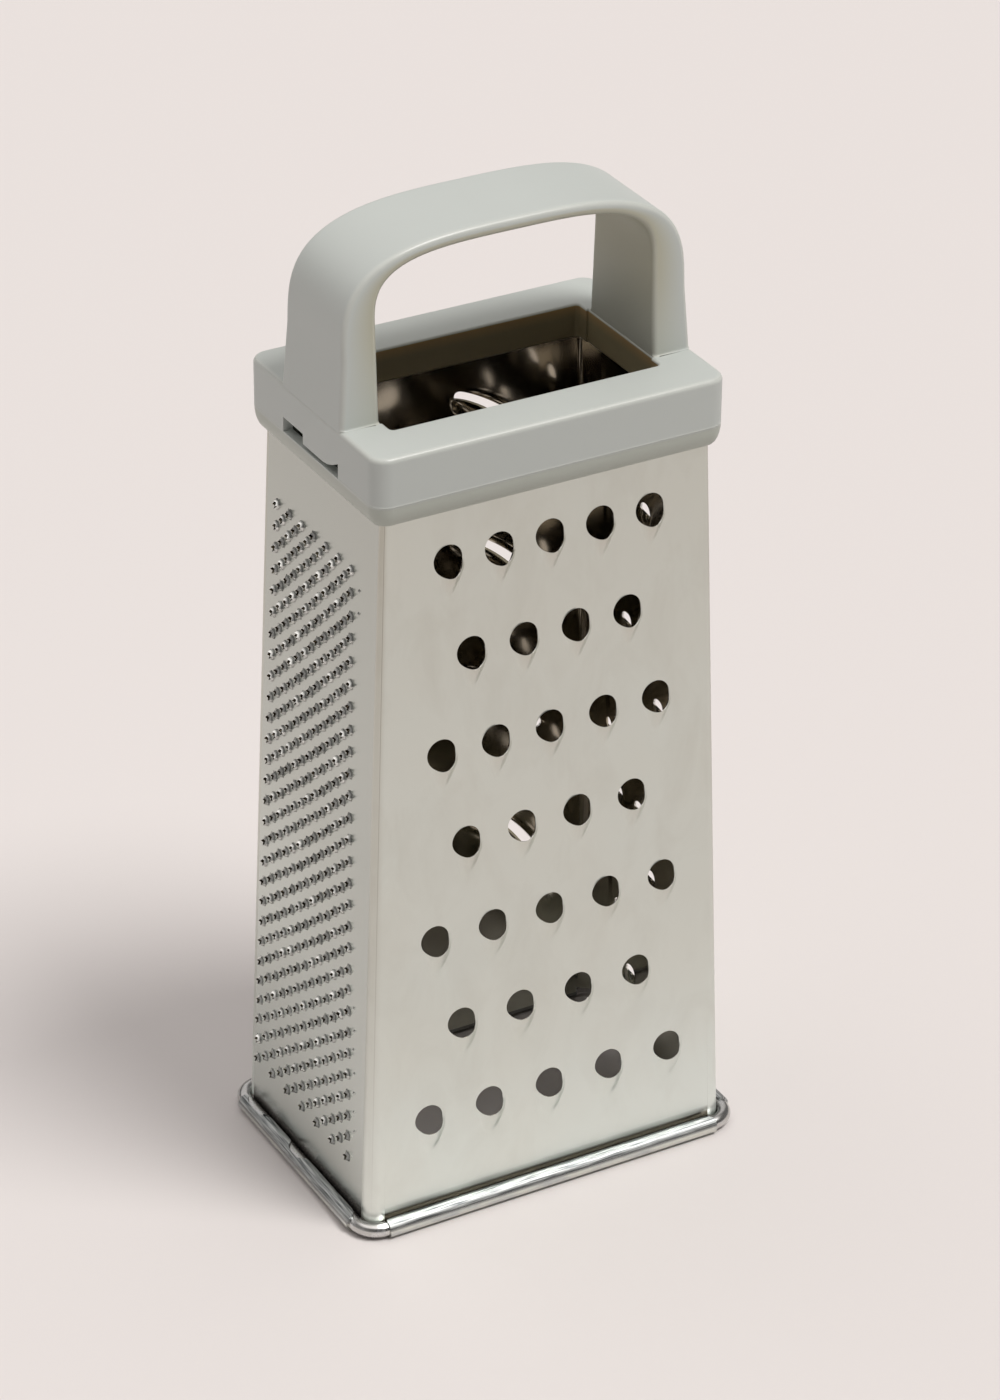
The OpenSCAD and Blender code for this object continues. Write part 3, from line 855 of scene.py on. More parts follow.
def slicer_patches(centres, gap, lip, slant, arc_radius, half_angle):
    """Slicing slots: bands cut along an arc, with the sheet below raised as a long lip.

    The slot runs along a circle of the arc's radius about a point below it, and its ends
    are half circles. Below the slot the sheet rises to the lip's height as
    (1 - d / width) ^ 1.6, with d the distance from the edge. Above the slot it is pressed
    in as the square of the same term. Both fade out along the slot as 1 minus the fourth
    power. An oval ring closes the patch, and the whole is turned left by the slant.
    """
    lip_width = 4.4 * MM
    pressed_width = 1.6 * MM
    pressed_depth = 0.35 * MM
    oval_middle = np.array([0, -1.6 * MM])
    oval_half = np.array([18.2 * MM, 8.4 * MM])
    steps = 27
    cap_steps = 5
    lower = arc_radius - gap
    lean = np.linspace(-half_angle, half_angle, steps)
    cap = np.linspace(0, math.pi, cap_steps + 2)[1:-1]
    cap = gap / 2 * np.stack([np.sin(cap), -np.cos(cap)], axis=-1)
    centre = np.array([0, gap / 4 - arc_radius])

    def on_arc(radius, bearing):
        return radius * np.stack([np.sin(bearing), np.cos(bearing)], axis=-1)

    middle = (lower + arc_radius) / 2
    rim = centre + np.concatenate([
        on_arc(lower, lean), turned(cap, half_angle) + on_arc(middle, half_angle),
        on_arc(arc_radius, lean[::-1]), turned(-cap, -half_angle) + on_arc(middle, -half_angle)])
    widest = np.abs(rim[:, 0]).max() * 1.003
    around = np.arccos(np.clip(rim[:, 0] / widest, -1, 1))
    number = np.arange(len(rim))
    lower_part = (number < rim[:, 0].argmax()) | (number > rim[:, 0].argmin())
    around = np.where(lower_part, -around, around)
    ring = oval_middle + oval_half * np.stack([np.cos(around), np.sin(around)], axis=-1)
    share = np.array([0, 0.05, 0.13, 0.24, 0.38, 0.54, 0.74, 0.92, 1.0])[:, None]
    thinned = np.array([0.7, 0.5, 0.2, 0, 0, 0, 0, 0, 0])[:, None]
    plan = mix(rim, ring, share[..., None])
    offset = plan - centre
    far = np.linalg.norm(offset, axis=-1)
    bearing = np.arctan2(offset[..., 0], offset[..., 1])
    fade = np.clip(1 - (bearing / (half_angle * 1.12)) ** 4, 0, 1)
    below = np.clip(lower - far, 0, None)
    raised = np.clip(1 - below / lip_width, 0, 1) ** 1.6 * fade * (far < lower + 0.01 * MM)
    above = np.clip(far - arc_radius, 0, None)
    pressed = np.clip(1 - above / pressed_width, 0, 1) ** 2 * fade
    pressed = pressed * (far > arc_radius - 0.01 * MM)
    w = (lip * raised - pressed_depth * pressed) * (1 - smooth_step(0.6, 0.92, share))
    patch = np.empty((len(centres),) + w.shape + (3,))
    patch[..., :2] = centres[:, None, None, :] + turned(plan, -slant)
    patch[..., 2] = w
    full = 1 - thinned * (number < steps)
    return patch, np.clip(raised, 0, 1), full, False


def turned(points, angle):
    """Points of a plane turned clockwise by the angle."""
    c, s = math.cos(angle), math.sin(angle)
    x, y = points[..., 0], points[..., 1]
    return np.stack([c * x + s * y, c * y - s * x], axis=-1)


class GRATER_OT_coarse_face(Operator):
    """Make the coarse face with its large half-round teeth"""

    bl_idname = "grater.coarse_face"
    bl_label = "Coarse face"

    def execute(self, context):
        sizes = context.scene.grater_sheet
        centres, up = staggered(
            rows=7, counts=(5, 4), steps=(14.84 * MM, 11.81 * MM),
            reach=COARSE_WALL.up_to((25.8 * MM, 159.3 * MM)))
        lift = mix(sizes.coarse_low_lift, sizes.coarse_top_lift, up)
        fold = np.minimum(0.75 + 0.6 * up, 1.25)
        teeth = tooth_patches(
            centres, sizes.coarse_radius, lift, sizes.coarse_drop * up, fold,
            reach=2.9 * sizes.coarse_radius, steps=48, margin=0.9 * MM,
            rng=np.random.default_rng(29))
        formed_wall("coarse_face", "coarse_wall", COARSE_WALL, [teeth])
        return {"FINISHED"}


class GRATER_OT_medium_face(Operator):
    """Make the medium face with its small half-round teeth"""

    bl_idname = "grater.medium_face"
    bl_label = "Medium face"

    def execute(self, context):
        sizes = context.scene.grater_sheet
        centres, _ = staggered(
            rows=10, counts=(5, 4), steps=(9.6 * MM, 8.2 * MM), reach=(18 * MM, 158 * MM))
        teeth = tooth_patches(
            centres, sizes.medium_radius, sizes.medium_lift, drop=0.15 * MM, fold=1.3,
            reach=2.95 * sizes.medium_radius, steps=36, margin=0.7 * MM,
            rng=np.random.default_rng(31))
        formed_wall("medium_face", "medium_wall", MEDIUM_WALL, [teeth])
        return {"FINISHED"}


class GRATER_OT_fine_face(Operator):
    """Make the fine face with its rows of torn burrs"""

    bl_idname = "grater.fine_face"
    bl_label = "Fine face"

    def execute(self, context):
        sizes = context.scene.grater_sheet
        rng = np.random.default_rng(71)
        centres, up = staggered(
            rows=55, counts=(7, 6), steps=(7.16 * MM, 5.52 * MM),
            reach=FINE_WALL.up_to((14.6 * MM, 154.46 * MM)))
        centres[:, 0] -= mix(2.4 * MM, 3.2 * MM, up)
        centres = centres + rng.normal(0, 0.06 * MM, centres.shape)
        burrs = burr_patches(centres, sizes.burr_radius, sizes.burr_height, steps=8, rng=rng)
        marks = np.array([(20, 53), (20.5, 47.5), (20.3, 42.7), (21, 37), (21, 32), (21.3, 27.3),
                          (21.7, 22.5), (17, 151.5), (17, 146.3)]) * MM
        pimples = prick_patches(marks, radius=0.55 * MM, height=0.4 * MM, steps=8)
        formed_wall("fine_face", "fine_wall", FINE_WALL, [burrs, pimples], "burred", sharp=32)
        return {"FINISHED"}


class GRATER_OT_slicing_face(Operator):
    """Make the slicing face with its curved slots and raised lips"""

    bl_idname = "grater.slicing_face"
    bl_label = "Slicing face"

    def execute(self, context):
        sizes = context.scene.grater_sheet
        number = np.arange(8)
        side = np.where(number % 2 == 0, 1, -1)
        u = 20 * MM * side
        v = (39.5 + 17 * number) * MM
        slots = slicer_patches(
            np.stack([u, v], axis=-1), sizes.slot_gap, sizes.lip_height,
            slant=math.radians(42), arc_radius=45 * MM, half_angle=math.radians(19))
        formed_wall("slicing_face", "slicing_wall", SLICING_WALL, [slots])
        return {"FINISHED"}


def corner_bend(name, side_x, side_y, thickness):
    """A quarter of a slender cone with a flat strip on either side.

    At height z its section is a quarter circle of the bend's radius about the point that
    lies that radius inside both walls. The foot's sides are cut back, by the eighth power
    of cos 2a at angle a, which leaves a short tongue in the middle. The cut fades out
    upwards as the twelfth power.
    """
    cut_back = 0.42 * MM
    up = np.linspace(0, 1, 20)[:, None]
    z = mix(2.8 * MM, SHEET_TOP, up)
    arc = np.radians(np.linspace(0, 90, 25))
    r = bend_radius(z)
    centre = body_half(z[:, 0]) - r
    strip = np.full(z.shape, -BEND_STRIP)
    x = np.concatenate([r, r * np.cos(arc), strip], axis=1) + centre[:, :1]
    y = np.concatenate([strip, r * np.sin(arc), r], axis=1) + centre[:, 1:]
    cut = cut_back * np.concatenate([[1], np.abs(np.cos(2 * arc)) ** 8, [1]])
    level = z + cut * (1 - up) ** 12
    points = np.stack([side_x * x, side_y * y, level], axis=-1)
    quads = grid_quads(*x.shape)
    if side_x * side_y > 0:
        quads = quads[:, ::-1]
    # side: 1 towards the side face, 0 towards the front or back; the satin finish paints shade and
    # a dark reflection line by it
    side = np.concatenate([[1], 1 - smooth_step(30, 75, np.degrees(arc)), [0]])
    piece = make_piece(
        name, points, quads.tolist(), ("satin", "inside", "torn"),
        values={"side": np.broadcast_to(side, level.shape), "bend": np.ones(level.shape)})
    give_wall(piece, thickness)
    settle(piece, 38)
    return piece


class GRATER_OT_corner_bends(Operator):
    """Make the four bends between the faces"""

    bl_idname = "grater.corner_bends"
    bl_label = "Corner bends"

    def execute(self, context):
        thickness = context.scene.grater_sheet.thickness
        for front, side_y in (("front", -1), ("back", 1)):
            for left, side_x in (("left", -1), ("right", 1)):
                node = f"bend_{front}_{left}"
                piece = corner_bend(f"corner_{front}_{left}", side_x, side_y, thickness)
                hand_in(piece, "sheet_steel", node)
        return {"FINISHED"}


class GRATER_OT_seam(Operator):
    """Give the lapped seam inside the body its bright, hazy steel"""

    bl_idname = "grater.seam"
    bl_label = "Lapped seam"

    def execute(self, context):
        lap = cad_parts["seam_lap"]
        for slot in lap.material_slots:
            slot.material = finish_named("inside")
        return {"FINISHED"}


def hem_strip(name, reach, side, turn, thickness, bites):
    """The foot of a wall curled out, round and over the wire.

    Its outside is an arc of the wire's radius plus the sheet, from the wall (180 degrees)
    down, out and over to the free edge. The free edge draws back at each bite, given as
    its middle, half length and angle: by the angle times e to the minus d ^ 6, with d the
    distance from the middle in half lengths. Its two ends are rounded as quarter circles.
    """
    curl = 288.0
    corner_left = 1.0 * MM
    corner_right = 2.6 * MM
    radius = WIRE_R + thickness
    length_half = side - WIRE_BEND_R
    s = np.linspace(-1, 1, 121)[:, None]
    t = np.linspace(0, 1, 33)[None, :]
    free = np.full(s.shape, curl)
    for middle, half, angle in bites:
        free = free - angle * np.exp(-(((s * length_half - middle) / half) ** 6))
    angle = np.radians(180 + free * t)
    to_free = np.radians(free) * (1 - t) * radius
    corner = np.where(s > 0, corner_right, corner_left)
    into = np.clip(1 - to_free / corner, 0, 1)
    shrink = corner * (1 - np.sqrt(np.clip(1 - into ** 2, 0, 1)))
    along = s * (length_half - shrink)
    out = -reach - radius * np.cos(angle)
    up = np.maximum(WIRE_Z + radius * np.sin(angle), 0)
    plan = turned(np.stack([along, out], axis=-1), -math.radians(turn))
    points = np.concatenate([plan, up[..., None]], axis=-1)
    uv = np.stack([along, radius * angle], axis=-1)
    quads = grid_quads(*along.shape)
    piece = make_piece(name, points, quads.tolist(), ("hem",), along=uv)
    give_wall(piece, thickness, 0, 0)
    settle(piece, 40)
    return piece


class GRATER_OT_hems(Operator):
    """Make the four hems that are curled over the base wire"""

    bl_idname = "grater.hems"
    bl_label = "Hems"

    def execute(self, context):
        thickness = context.scene.grater_sheet.thickness
        wide, deep = WIRE_HALF
        torn = ((-1.25 * MM, 3.6 * MM, 50), (-21.5 * MM, 4.8 * MM, 46))
        for node, reach, side, turn, bites in (
                ("hem_front", deep, wide, 0, ()), ("hem_right", wide, deep, 90, ()),
                ("hem_back", deep, wide, 180, ()), ("hem_left", wide, deep, -90, torn)):
            name = node.replace("hem", "curled_hem")
            piece = hem_strip(name, reach, side, turn, thickness, bites)
            hand_in(piece, "hem_steel", node)
        return {"FINISHED"}


def rounded_rail(half, corner, sides, steps):
    """A closed path round a rectangle with round corners, counter-clockwise from above.

    sides holds the shares, from -1 to 1, at which each straight side has its points.
    """
    flat = np.asarray(half, float) - corner
    arc = np.linspace(0, math.pi / 2, steps + 1)[1:-1]
    parts = []
    for quarter in range(4):
        along = flat[1] if quarter % 2 == 0 else flat[0]
        away = half[0] if quarter % 2 == 0 else half[1]
        straight = np.stack([np.full(len(sides), away), along * np.asarray(sides)], axis=-1)
        inner = flat[0] if quarter % 2 == 0 else flat[1]
        bend = np.stack([inner + corner * np.cos(arc), along + corner * np.sin(arc)], axis=-1)
        part = np.concatenate([straight, bend])
        turn = quarter * math.pi / 2
        parts.append(turned(part, -turn))
    return np.concatenate(parts)


class GRATER_OT_base_wire(Operator):
    """Make the round wire that stiffens the base"""

    bl_idname = "grater.base_wire"
    bl_label = "Base wire"

    def execute(self, context):
        rail = rounded_rail(WIRE_HALF, WIRE_BEND_R, np.linspace(-1, 1, 9), 20)
        step = np.roll(rail, -1, axis=0) - np.roll(rail, 1, axis=0)
        step /= np.linalg.norm(step, axis=1, keepdims=True)
        outward = np.stack([step[:, 1], -step[:, 0]], axis=-1)
        angle = full_turn(36)
        plan = rail[:, None] + WIRE_R * np.cos(angle)[None, :, None] * outward[:, None]
        shape = plan.shape[:2]
        height = np.broadcast_to(WIRE_Z + WIRE_R * np.sin(angle), shape)
        points = np.concatenate([plan, height[..., None]], axis=-1)
        gone = np.cumsum(np.linalg.norm(rail - np.roll(rail, 1, axis=0), axis=1))
        uv = np.stack([np.broadcast_to(gone[:, None], shape),
                       np.broadcast_to(WIRE_R * angle, shape)], axis=-1)
        quads = grid_quads(*shape, True, True)
        piece = make_piece("bright_base_wire", points, quads.tolist(), ("wire",), along=uv)
        hand_in(piece, "wire_steel", "base_wire")
        return {"FINISHED"}


def faces_out(points, quads):
    """The corners of a closed surface, turned round where its volume comes out negative.

    The volume is a sixth of the sum of a . (b x c) + a . (c x d) over its quads.
    """
    a, b, c, d = (points[quads[:, i]] for i in range(4))
    volume = np.einsum("ij,ij->i", a, np.cross(b, c) + np.cross(c, d)).sum()
    return quads if volume > 0 else quads[:, ::-1]


def arc_points(start, end, steps):
    """Angles from start to end in degrees, as radians."""
    return np.radians(np.linspace(start, end, steps))


def recalculate(piece):
    """Turns the faces of a closed shape outwards."""
    shape = bmesh.new()
    shape.from_mesh(piece.data)
    bmesh.ops.recalc_face_normals(shape, faces=shape.faces)
    shape.to_mesh(piece.data)
    shape.free()


def collar_profile(sizes):
    """The collar's section as (rail, offset, height, edge) rows.

    Rail 0 is the outside, offset inwards. Rail 1 is the mouth, offset outwards. It goes
    from the foot up the outside, over the top, down the mouth, round the foot of the
    mouth's inner wall, up to the underside of the plate and down inside the outer band.
    The band bulges out from its foot to the parting line as a quarter of an ellipse.
    """
    bulge = 2.3 * MM
    band = 2.2 * MM
    band_at_foot = 2.45 * MM
    inner_wall = 1.8 * MM
    inner_foot = 178.2 * MM
    plate_under = 183.6 * MM
    r = sizes.collar_round
    m = sizes.mouth_round
    rows = [(0, bulge * (1 - math.cos(a)), PARTING_Z - (PARTING_Z - COLLAR_FOOT) * math.sin(a), 0)
            for a in arc_points(90, 0, 11)]
    rows += [(0, -sizes.parting_ridge, PARTING_Z + 0.08 * MM, 1),
             (0, 0, PARTING_Z + 0.2 * MM, 0.2),
             (0, 0, PARTING_Z + 0.5 * MM, 0),
             (0, 0, COLLAR_TOP - r - 0.4 * MM, 0)]
    rows += [(0, r * (1 - math.cos(a)), COLLAR_TOP - r * (1 - math.sin(a)), math.sin(2 * a))
             for a in arc_points(0, 90, 9)]
    rows += [(0, r + 0.4 * MM, COLLAR_TOP, 0),
             (1, m + 0.3 * MM, COLLAR_TOP, 0)]
    rows += [(1, m * (1 - math.cos(a)), COLLAR_TOP - m * (1 - math.sin(a)), 0.8 * math.sin(2 * a))
             for a in arc_points(90, 0, 6)]
    rows += [(1, 0, COLLAR_TOP - m - 0.3 * MM, 0),
             (1, 0, inner_foot + 0.4 * MM, 0),
             (1, 0.3 * MM, inner_foot, 0.5),
             (1, inner_wall - 0.2 * MM, inner_foot, 0),
             (1, inner_wall, inner_foot + 0.2 * MM, 0),
             (1, inner_wall, plate_under, 0),
             (0, band, plate_under, 0),
             (0, band, PARTING_Z, 0),
             (0, band_at_foot, COLLAR_FOOT + 0.8 * MM, 0),
             (0, band_at_foot, COLLAR_FOOT, 0)]
    return rows


def mirrored(shares):
    """The shares and their negatives about 0, in order."""
    return np.array([-s for s in reversed(shares)] + [0] + list(shares))


def collar_rings(rows):
    """Points (rows, n, 3) of the collar: each row's offset applied to its own rail.

    Beside each leg the mouth's short side steps back by the same depth.
    """
    step_back = 0.4 * MM
    beside_leg = 13.3 * MM
    step = beside_leg / (MOUTH_HALF[1] - MOUTH_CORNER)
    mouth_shares = mirrored([0.5, step - 0.004, step + 0.004, 1])
    outer_shares = mirrored([0.3, 0.54, 0.62, 1])
    rings = []
    for rail, offset, height, _ in rows:
        if rail == 0:
            plan = rounded_rail(COLLAR_HALF - offset, COLLAR_CORNER - offset, outer_shares, 10)
        else:
            plan = rounded_rail(MOUTH_HALF + offset, MOUTH_CORNER + offset, mouth_shares, 10)
            x, y = plan.T
            beside = (np.abs(y) < beside_leg) & (np.abs(x) > MOUTH_HALF[0] - MM)
            plan[:, 0] += np.where(beside, step_back * np.sign(x), 0)
        rings.append(np.concatenate([plan, np.full((len(plan), 1), height)], axis=1))
    return np.stack(rings)


def slot_cutter():
    """A prism through both short sides, on the outline of the slot at each leg's foot.

    The outline's foot lies on the parting line. Its top is high at one end, steps down,
    and rises again in a curve to the other end.
    """
    outline = np.array([(-12.1, 0), (12.1, 0), (12.1, 3.3), (3.3, 3.3), (3.3, 1.0), (-5.5, 1.0),
                        (-7.5, 1.3), (-9.5, 2.0), (-12.1, 3.3)]) * MM
    near = COLLAR_HALF[0] - 4.4 * MM
    far = COLLAR_HALF[0] + 3 * MM
    n = len(outline)
    points = []
    faces = []
    for side in (-1, 1):
        for x in (side * near, side * far):
            points.append(np.stack([np.full(n, x), -side * outline[:, 0],
                                    outline[:, 1] + PARTING_Z], axis=-1))
        ring = np.arange(n) + (n + side * n)
        around = np.roll(ring, -1)
        faces += [ring.tolist(), (ring[::-1] + n).tolist()]
        faces += np.stack([ring, ring + n, around + n, around], axis=-1).tolist()
    return np.concatenate(points), faces


class GRATER_OT_collar(Operator):
    """Make the moulded collar with its mouth, skirt and leg slots"""

    bl_idname = "grater.collar"
    bl_label = "Collar"

    def execute(self, context):
        rows = collar_profile(context.scene.grater_plastic)
        rings = collar_rings(rows)
        points = rings.reshape(-1, 3)
        quads = faces_out(points, grid_quads(*rings.shape[:2], True, True))
        edge = np.repeat([row[3] for row in rows], rings.shape[1])
        # inner marks the mouth's inner surfaces, where the plastic paints shade, and light near the
        # top
        inner = [float(row[0] and row[2] < COLLAR_TOP - 0.5 * MM) for row in rows]
        inner = np.repeat(inner, rings.shape[1])
        piece = make_piece("moulded_collar", points, quads.tolist(), ("plastic",),
                           values={"edge": edge, "inner": inner})
        cutter = make_piece("slot_cutter", *slot_cutter(), ("plastic",))
        recalculate(cutter)
        cut = piece.modifiers.new("slots", "BOOLEAN")
        cut.operation = "DIFFERENCE"
        cut.solver = "EXACT"
        cut.object = cutter
        settle(piece, 35)
        bpy.data.objects.remove(cutter)
        hand_in(piece, "grey_plastic", "collar")
        return {"FINISHED"}


def arch_line(half, foot_half, foot, shoulder, top, power):
    """A dense line from one foot over the arch to the other, as (x, z) points.

    The legs are straight. Above the shoulder the line is a superellipse: x is half times
    cos a to the power 2 / p and z is the shoulder plus the rise times sin a to 2 / p.
    """
    a = np.linspace(0, math.pi, 6001)
    c, s = np.cos(a), np.sin(a)
    x = half * np.sign(c) * np.abs(c) ** (2 / power)
    z = shoulder + (top - shoulder) * np.abs(s) ** (2 / power)
    rise = np.linspace(0, 1, 400, endpoint=False)
    leg_z = mix(foot, shoulder, rise)
    slope = (leg_z - COLLAR_TOP) / (shoulder - COLLAR_TOP)
    leg_x = mix(foot_half, half, slope)
    line_x = np.concatenate([leg_x, x, -leg_x[::-1]])
    line_z = np.concatenate([leg_z, z, leg_z[::-1]])
    return np.stack([line_x, line_z], axis=-1)


def along_line(line):
    """Length gone at each point of a line."""
    return np.concatenate([[0], np.cumsum(np.linalg.norm(np.diff(line, axis=0), axis=1))])


def on_line(at, gone, line):
    """The points of a line where the given lengths along it are gone."""
    return np.stack([np.interp(at, gone, line[:, 0]), np.interp(at, gone, line[:, 1])], axis=-1)


def hit_distance(origin, direction, line):
    """Distance from each origin along its direction to the line, by crossing segments."""
    start = line[:-1][None]
    step = (line[1:] - line[:-1])[None]
    gap = start - origin[:, None]
    d = direction[:, None]
    cross = d[..., 0] * step[..., 1] - d[..., 1] * step[..., 0]
    cross = np.where(np.abs(cross) < 1e-15, 1e-15, cross)
    far = (gap[..., 0] * step[..., 1] - gap[..., 1] * step[..., 0]) / cross
    on = (gap[..., 0] * d[..., 1] - gap[..., 1] * d[..., 0]) / cross
    good = (on >= -1e-6) & (on <= 1 + 1e-6) & (far > 0)
    return np.where(good, far, 1.0).min(axis=1)


def handle_section():
    """The corners of the handle's section as (t, shift t, y, shift y, edge) rows.

    A point lies at t times the thickness plus the first shift times the edge's radius,
    and at y times the half depth plus the second shift times that radius. Every corner is
    a quarter circle. Two more points hold each broad face flat.
    """
    hold = 1.35
    quarter = arc_points(0, 90, 8)
    rows = []
    for t, y in ((1, 1), (0, 1), (0, -1), (1, -1)):
        before_face = (t == 1) != (y == 1)
        for a in quarter[::-1] if before_face else quarter:
            in_t = 1 - math.cos(a)
            in_y = 1 - math.sin(a)
            rows.append((t, -in_t if t else in_t, y, -y * in_y, math.sin(2 * a)))
        if before_face:
            rows.append((t, 0, y, -y * hold, 0))
            rows.append((t, 0, -y, y * hold, 0))
    return np.array(rows)


def handle_stations(inner):
    """Points on the inner line where the handle has a section, and the heading there.

    The heading is smoothed over 41 of 1601 even steps. The sections stand closer where it
    turns, by counting every radian as 14 mm more, and closest at the two feet.
    """
    turn_length = 14 * MM
    clear = 0.5 * MM
    near_foot = np.array([0, 0.8, 1.6, 1.68, 1.8, 1.95, 2.15, 2.5, 3.2]) * MM
    gone = along_line(inner)
    even = np.linspace(0, gone[-1], 1601)
    line = on_line(even, gone, inner)
    tangent = np.gradient(line, axis=0)
    heading = np.unwrap(np.arctan2(tangent[:, 1], tangent[:, 0]))
    kernel = np.hanning(41)
    heading = np.convolve(np.pad(heading, 20, mode="edge"), kernel / kernel.sum(), mode="valid")
    measure = even + turn_length * np.abs(heading - heading[0])
    at = np.interp(np.linspace(measure[0], measure[-1], 150), measure, even)
    reach = near_foot[-1] + clear
    at = at[(at > reach) & (at < even[-1] - reach)]
    at = np.concatenate([near_foot, at, even[-1] - near_foot[::-1]])
    return on_line(at, even, line), np.interp(at, even, heading)


def handle_rings(sizes):
    """Points (stations, m, 3), edge values and inner values of the handle, foot to foot.

    Each station stands square to the inner line and reaches to the outer line. Its section
    is a rectangle with round corners whose half depth falls evenly with height, and widens
    at the collar as a quarter circle. The inner value, on the inner faces, marks painted
    shade for the plastic and grows over 22 mm above the collar.
    """
    foot = COLLAR_TOP - 1.6 * MM
    inner_rise = 22 * MM
    half_foot = HANDLE_HIGH.y
    half_top = 11.6 * MM
    inner = arch_line(half=31.9 * MM, foot_half=31.8 * MM, foot=foot, shoulder=206 * MM,
                      top=HANDLE_HIGH.z - 2.9 * MM, power=3.5)
    outer = arch_line(half=39.7 * MM, foot_half=HANDLE_HIGH.x, foot=foot - 4 * MM,
                      shoulder=200 * MM, top=HANDLE_HIGH.z, power=3.2)
    base, turn = handle_stations(inner)
    normal = np.stack([np.sin(turn), -np.cos(turn)], axis=-1)
    thick = hit_distance(base, normal, outer[::5])[:, None]
    r = np.minimum(sizes.handle_round, 0.47 * thick)
    side_t, shift_t, side_y, shift_y, edge = handle_section().T
    t = side_t * thick + shift_t * r
    x = base[:, :1] + normal[:, :1] * t
    z = base[:, 1:] + normal[:, 1:] * t
    half = mix(half_foot, half_top, (z - COLLAR_TOP) / (HANDLE_HIGH.z - COLLAR_TOP))
    root = sizes.root_round
    rise = np.clip(1 - (z - COLLAR_TOP) / root, 0, 1)
    half = half + root * (1 - np.sqrt(1 - rise ** 2)) * (z > COLLAR_TOP - 0.01 * MM)
    y = side_y * half + shift_y * r
    # the inner faces get a number that the plastic turns into painted warm shade
    warm = (0.1 + 0.14 * smooth_step(COLLAR_TOP, COLLAR_TOP + inner_rise, z)) * (side_t == 0)
    return np.stack([x, y, z], axis=-1), np.broadcast_to(edge, t.shape), warm


class GRATER_OT_handle(Operator):
    """Make the moulded handle that arches over the mouth"""

    bl_idname = "grater.handle"
    bl_label = "Handle"

    def execute(self, context):
        rings, edge, inner = handle_rings(context.scene.grater_plastic)
        stations, m = rings.shape[:2]
        points = rings.reshape(-1, 3)
        faces = faces_out(points, grid_quads(stations, m, closed_columns=True)).tolist()
        faces.append(list(range(m)))
        faces.append(list(range((stations - 1) * m, stations * m)))
        piece = make_piece("moulded_handle", points, faces, ("plastic",),
                           values={"edge": edge, "inner": inner})
        recalculate(piece)
        settle(piece, 50)
        hand_in(piece, "grey_plastic", "handle")
        return {"FINISHED"}


def make_floor():
    """A broad flat disc under the object, made of rings that widen outwards."""
    rings = np.array([0.05, 0.2, 0.6, 1.5, 4.0, 9.0])
    angle = full_turn(64)
    x = rings[:, None] * np.cos(angle)
    y = rings[:, None] * np.sin(angle)
    points = np.stack([x, y, np.zeros_like(x)], axis=-1)
    faces = grid_quads(*x.shape, closed_columns=True).tolist()
    faces.append(list(range(len(angle))))
    floor = make_piece("floor", points, faces, ("floor",))


def make_world():
    """A dim room with a pale horizon, a broad soft box overhead and light from the sides.

    The light is a level part, a pale band at the horizon, a box from where a direction's
    height passes three quarters, a panel half way up behind the object, and parts that
    grow with the square of a direction's reach to the left and, more weakly, to the right.
    """
    world = bpy.data.worlds.new("studio")
    bpy.context.scene.world = world
    f = Finish(world)
    direction = f.add("ShaderNodeTexCoord", output="Generated")
    across = f.part(direction, "X")
    away = f.part(direction, "Y")
    up = f.part(direction, "Z")
    horizon = f.ramp(up, [(0.0, 0.42), (0.05, 0.42), (0.13, 0.0)])
    box = f.ramp(up, [(0.74, 0.0), (0.92, 1.0)])
    panel = f.ramp(away, [(0.4, 0.0), (0.62, 1.0)])
    panel = panel * f.ramp(up, [(0.3, 0.0), (0.42, 1.0), (0.68, 1.0), (0.76, 0.0)])
    left = f.sum("MAXIMUM", across * -1.0, 0.0) ** 2.0
    right = f.sum("MAXIMUM", across, 0.0) ** 2.0
    level = 0.02 + horizon + 1.28 * box + 0.65 * panel + 0.33 * left + 0.15 * right
    light = f.add("ShaderNodeBackground", sockets={"Color": (1.0, 0.965, 0.945), "Strength": level})
    f.add("ShaderNodeOutputWorld", sockets={"Surface": light}, output=None)


def make_lamps():
    """One broad lamp from the front right, which throws the soft shadow to the left."""
    elevation = math.radians(62)
    lamp = bpy.data.lights.new("key", "SUN")
    lamp.energy = 1.92
    lamp.angle = math.radians(23)
    lamp.color = (1.0, 0.985, 0.96)
    key = bpy.data.objects.new("key", lamp)
    toward = Vector((0.56, -0.83, 0)).normalized() * math.cos(elevation)
    toward.z = math.sin(elevation)
    key.rotation_mode = "QUATERNION"
    key.rotation_quaternion = toward.to_track_quat("Z", "Y")
    bpy.context.scene.collection.objects.link(key)


def make_camera():
    """The photograph's view: from the front left, 30 degrees above the floor."""
    azimuth, elevation, roll = (math.radians(a) for a in (-29.36, 30.04, 0.40))
    target = Vector((3.56, 0, 105.58)) * MM
    distance = 1010.82 * MM
    focal_pixels = 4725.99
    frame_pixels = 1400
    level_back = Vector((math.sin(azimuth), -math.cos(azimuth), 0))
    back = level_back * math.cos(elevation) + Vector((0, 0, math.sin(elevation)))
    right = Vector((math.cos(azimuth), math.sin(azimuth), 0))
    up = back.cross(right)
    tilted_right = right * math.cos(roll) + up * math.sin(roll)
    tilted_up = up * math.cos(roll) - right * math.sin(roll)
    lens = bpy.data.cameras.new("photo_view")
    lens.sensor_width = 36
    lens.lens = focal_pixels / frame_pixels * lens.sensor_width
    lens.clip_start = 0.05
    lens.clip_end = 50
    camera = bpy.data.objects.new("photo_view", lens)
    turn = Matrix((tilted_right, tilted_up, back)).transposed()
    camera.matrix_world = Matrix.Translation(target + back * distance) @ turn.to_4x4()
    bpy.context.scene.collection.objects.link(camera)
    bpy.context.scene.camera = camera


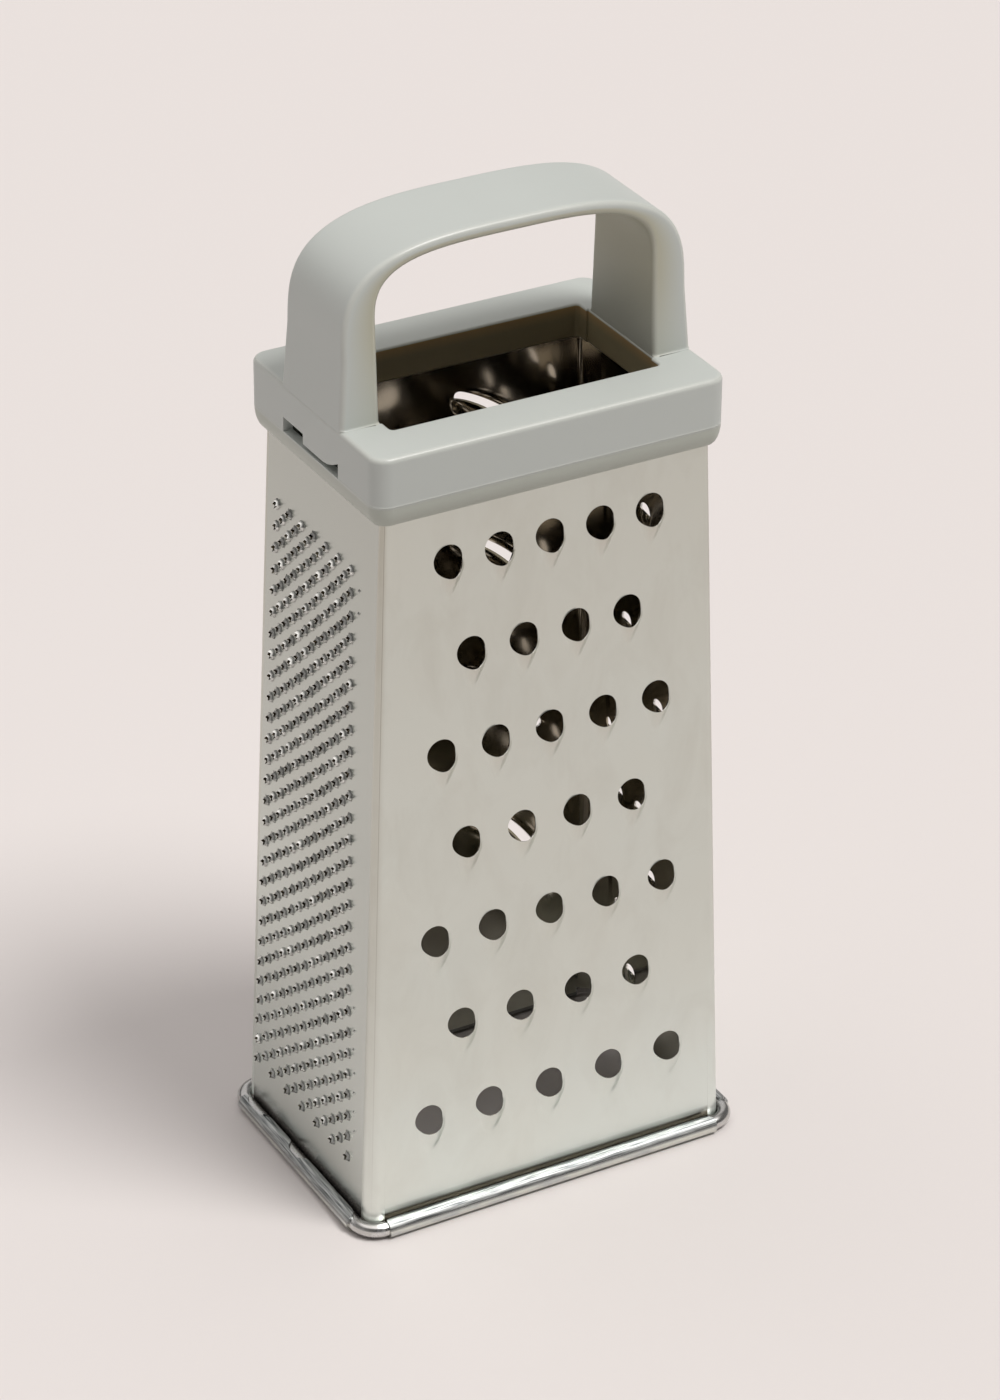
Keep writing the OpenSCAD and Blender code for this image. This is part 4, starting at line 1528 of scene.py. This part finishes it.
class GRATER_OT_stage(Operator):
    """Make the floor, the light and the camera"""

    bl_idname = "grater.stage"
    bl_label = "Stage"

    def execute(self, context):
        make_floor()
        make_world()
        make_lamps()
        make_camera()
        context.scene.view_settings.view_transform = "Standard"
        return {"FINISHED"}


class GRATER_PT_build(Panel):
    """Sizes, colours and steps of the box grater"""

    bl_idname = "GRATER_PT_build"
    bl_label = "Box Grater"
    bl_space_type = "VIEW_3D"
    bl_region_type = "UI"
    bl_category = "Grater"

    def draw(self, context):
        for title, owner in (("Steel", context.scene.grater_sheet),
                             ("Plastic", context.scene.grater_plastic),
                             ("Colours", context.scene.grater_colours)):
            box = self.layout.box()
            box.label(text=title)
            for name in owner.__annotations__:
                box.prop(owner, name)
        for step in STEPS:
            self.layout.operator(step.bl_idname)


STEPS = (
    GRATER_OT_coarse_face, GRATER_OT_fine_face, GRATER_OT_medium_face, GRATER_OT_slicing_face,
    GRATER_OT_corner_bends, GRATER_OT_seam, GRATER_OT_hems, GRATER_OT_base_wire,
    GRATER_OT_collar, GRATER_OT_handle, GRATER_OT_stage,
)
CLASSES = (GraterSheetSizes, GraterPlasticSizes, GraterColours, *STEPS, GRATER_PT_build)


def register():
    """Makes the settings, the steps and the panel known to Blender."""
    for cls in CLASSES:
        bpy.utils.register_class(cls)
    bpy.types.Scene.grater_sheet = PointerProperty(type=GraterSheetSizes)
    bpy.types.Scene.grater_plastic = PointerProperty(type=GraterPlasticSizes)
    bpy.types.Scene.grater_colours = PointerProperty(type=GraterColours)


def unregister():
    """Takes the settings, the steps and the panel away again."""
    del bpy.types.Scene.grater_colours
    del bpy.types.Scene.grater_plastic
    del bpy.types.Scene.grater_sheet
    for cls in reversed(CLASSES):
        bpy.utils.unregister_class(cls)


def main():
    """Makes every piece and the stage."""
    register()
    bpy.ops.grater.coarse_face()
    bpy.ops.grater.fine_face()
    bpy.ops.grater.medium_face()
    bpy.ops.grater.slicing_face()
    bpy.ops.grater.corner_bends()
    bpy.ops.grater.seam()
    bpy.ops.grater.hems()
    bpy.ops.grater.base_wire()
    bpy.ops.grater.collar()
    bpy.ops.grater.handle()
    bpy.ops.grater.stage()


if __name__ == "__main__":
    main()
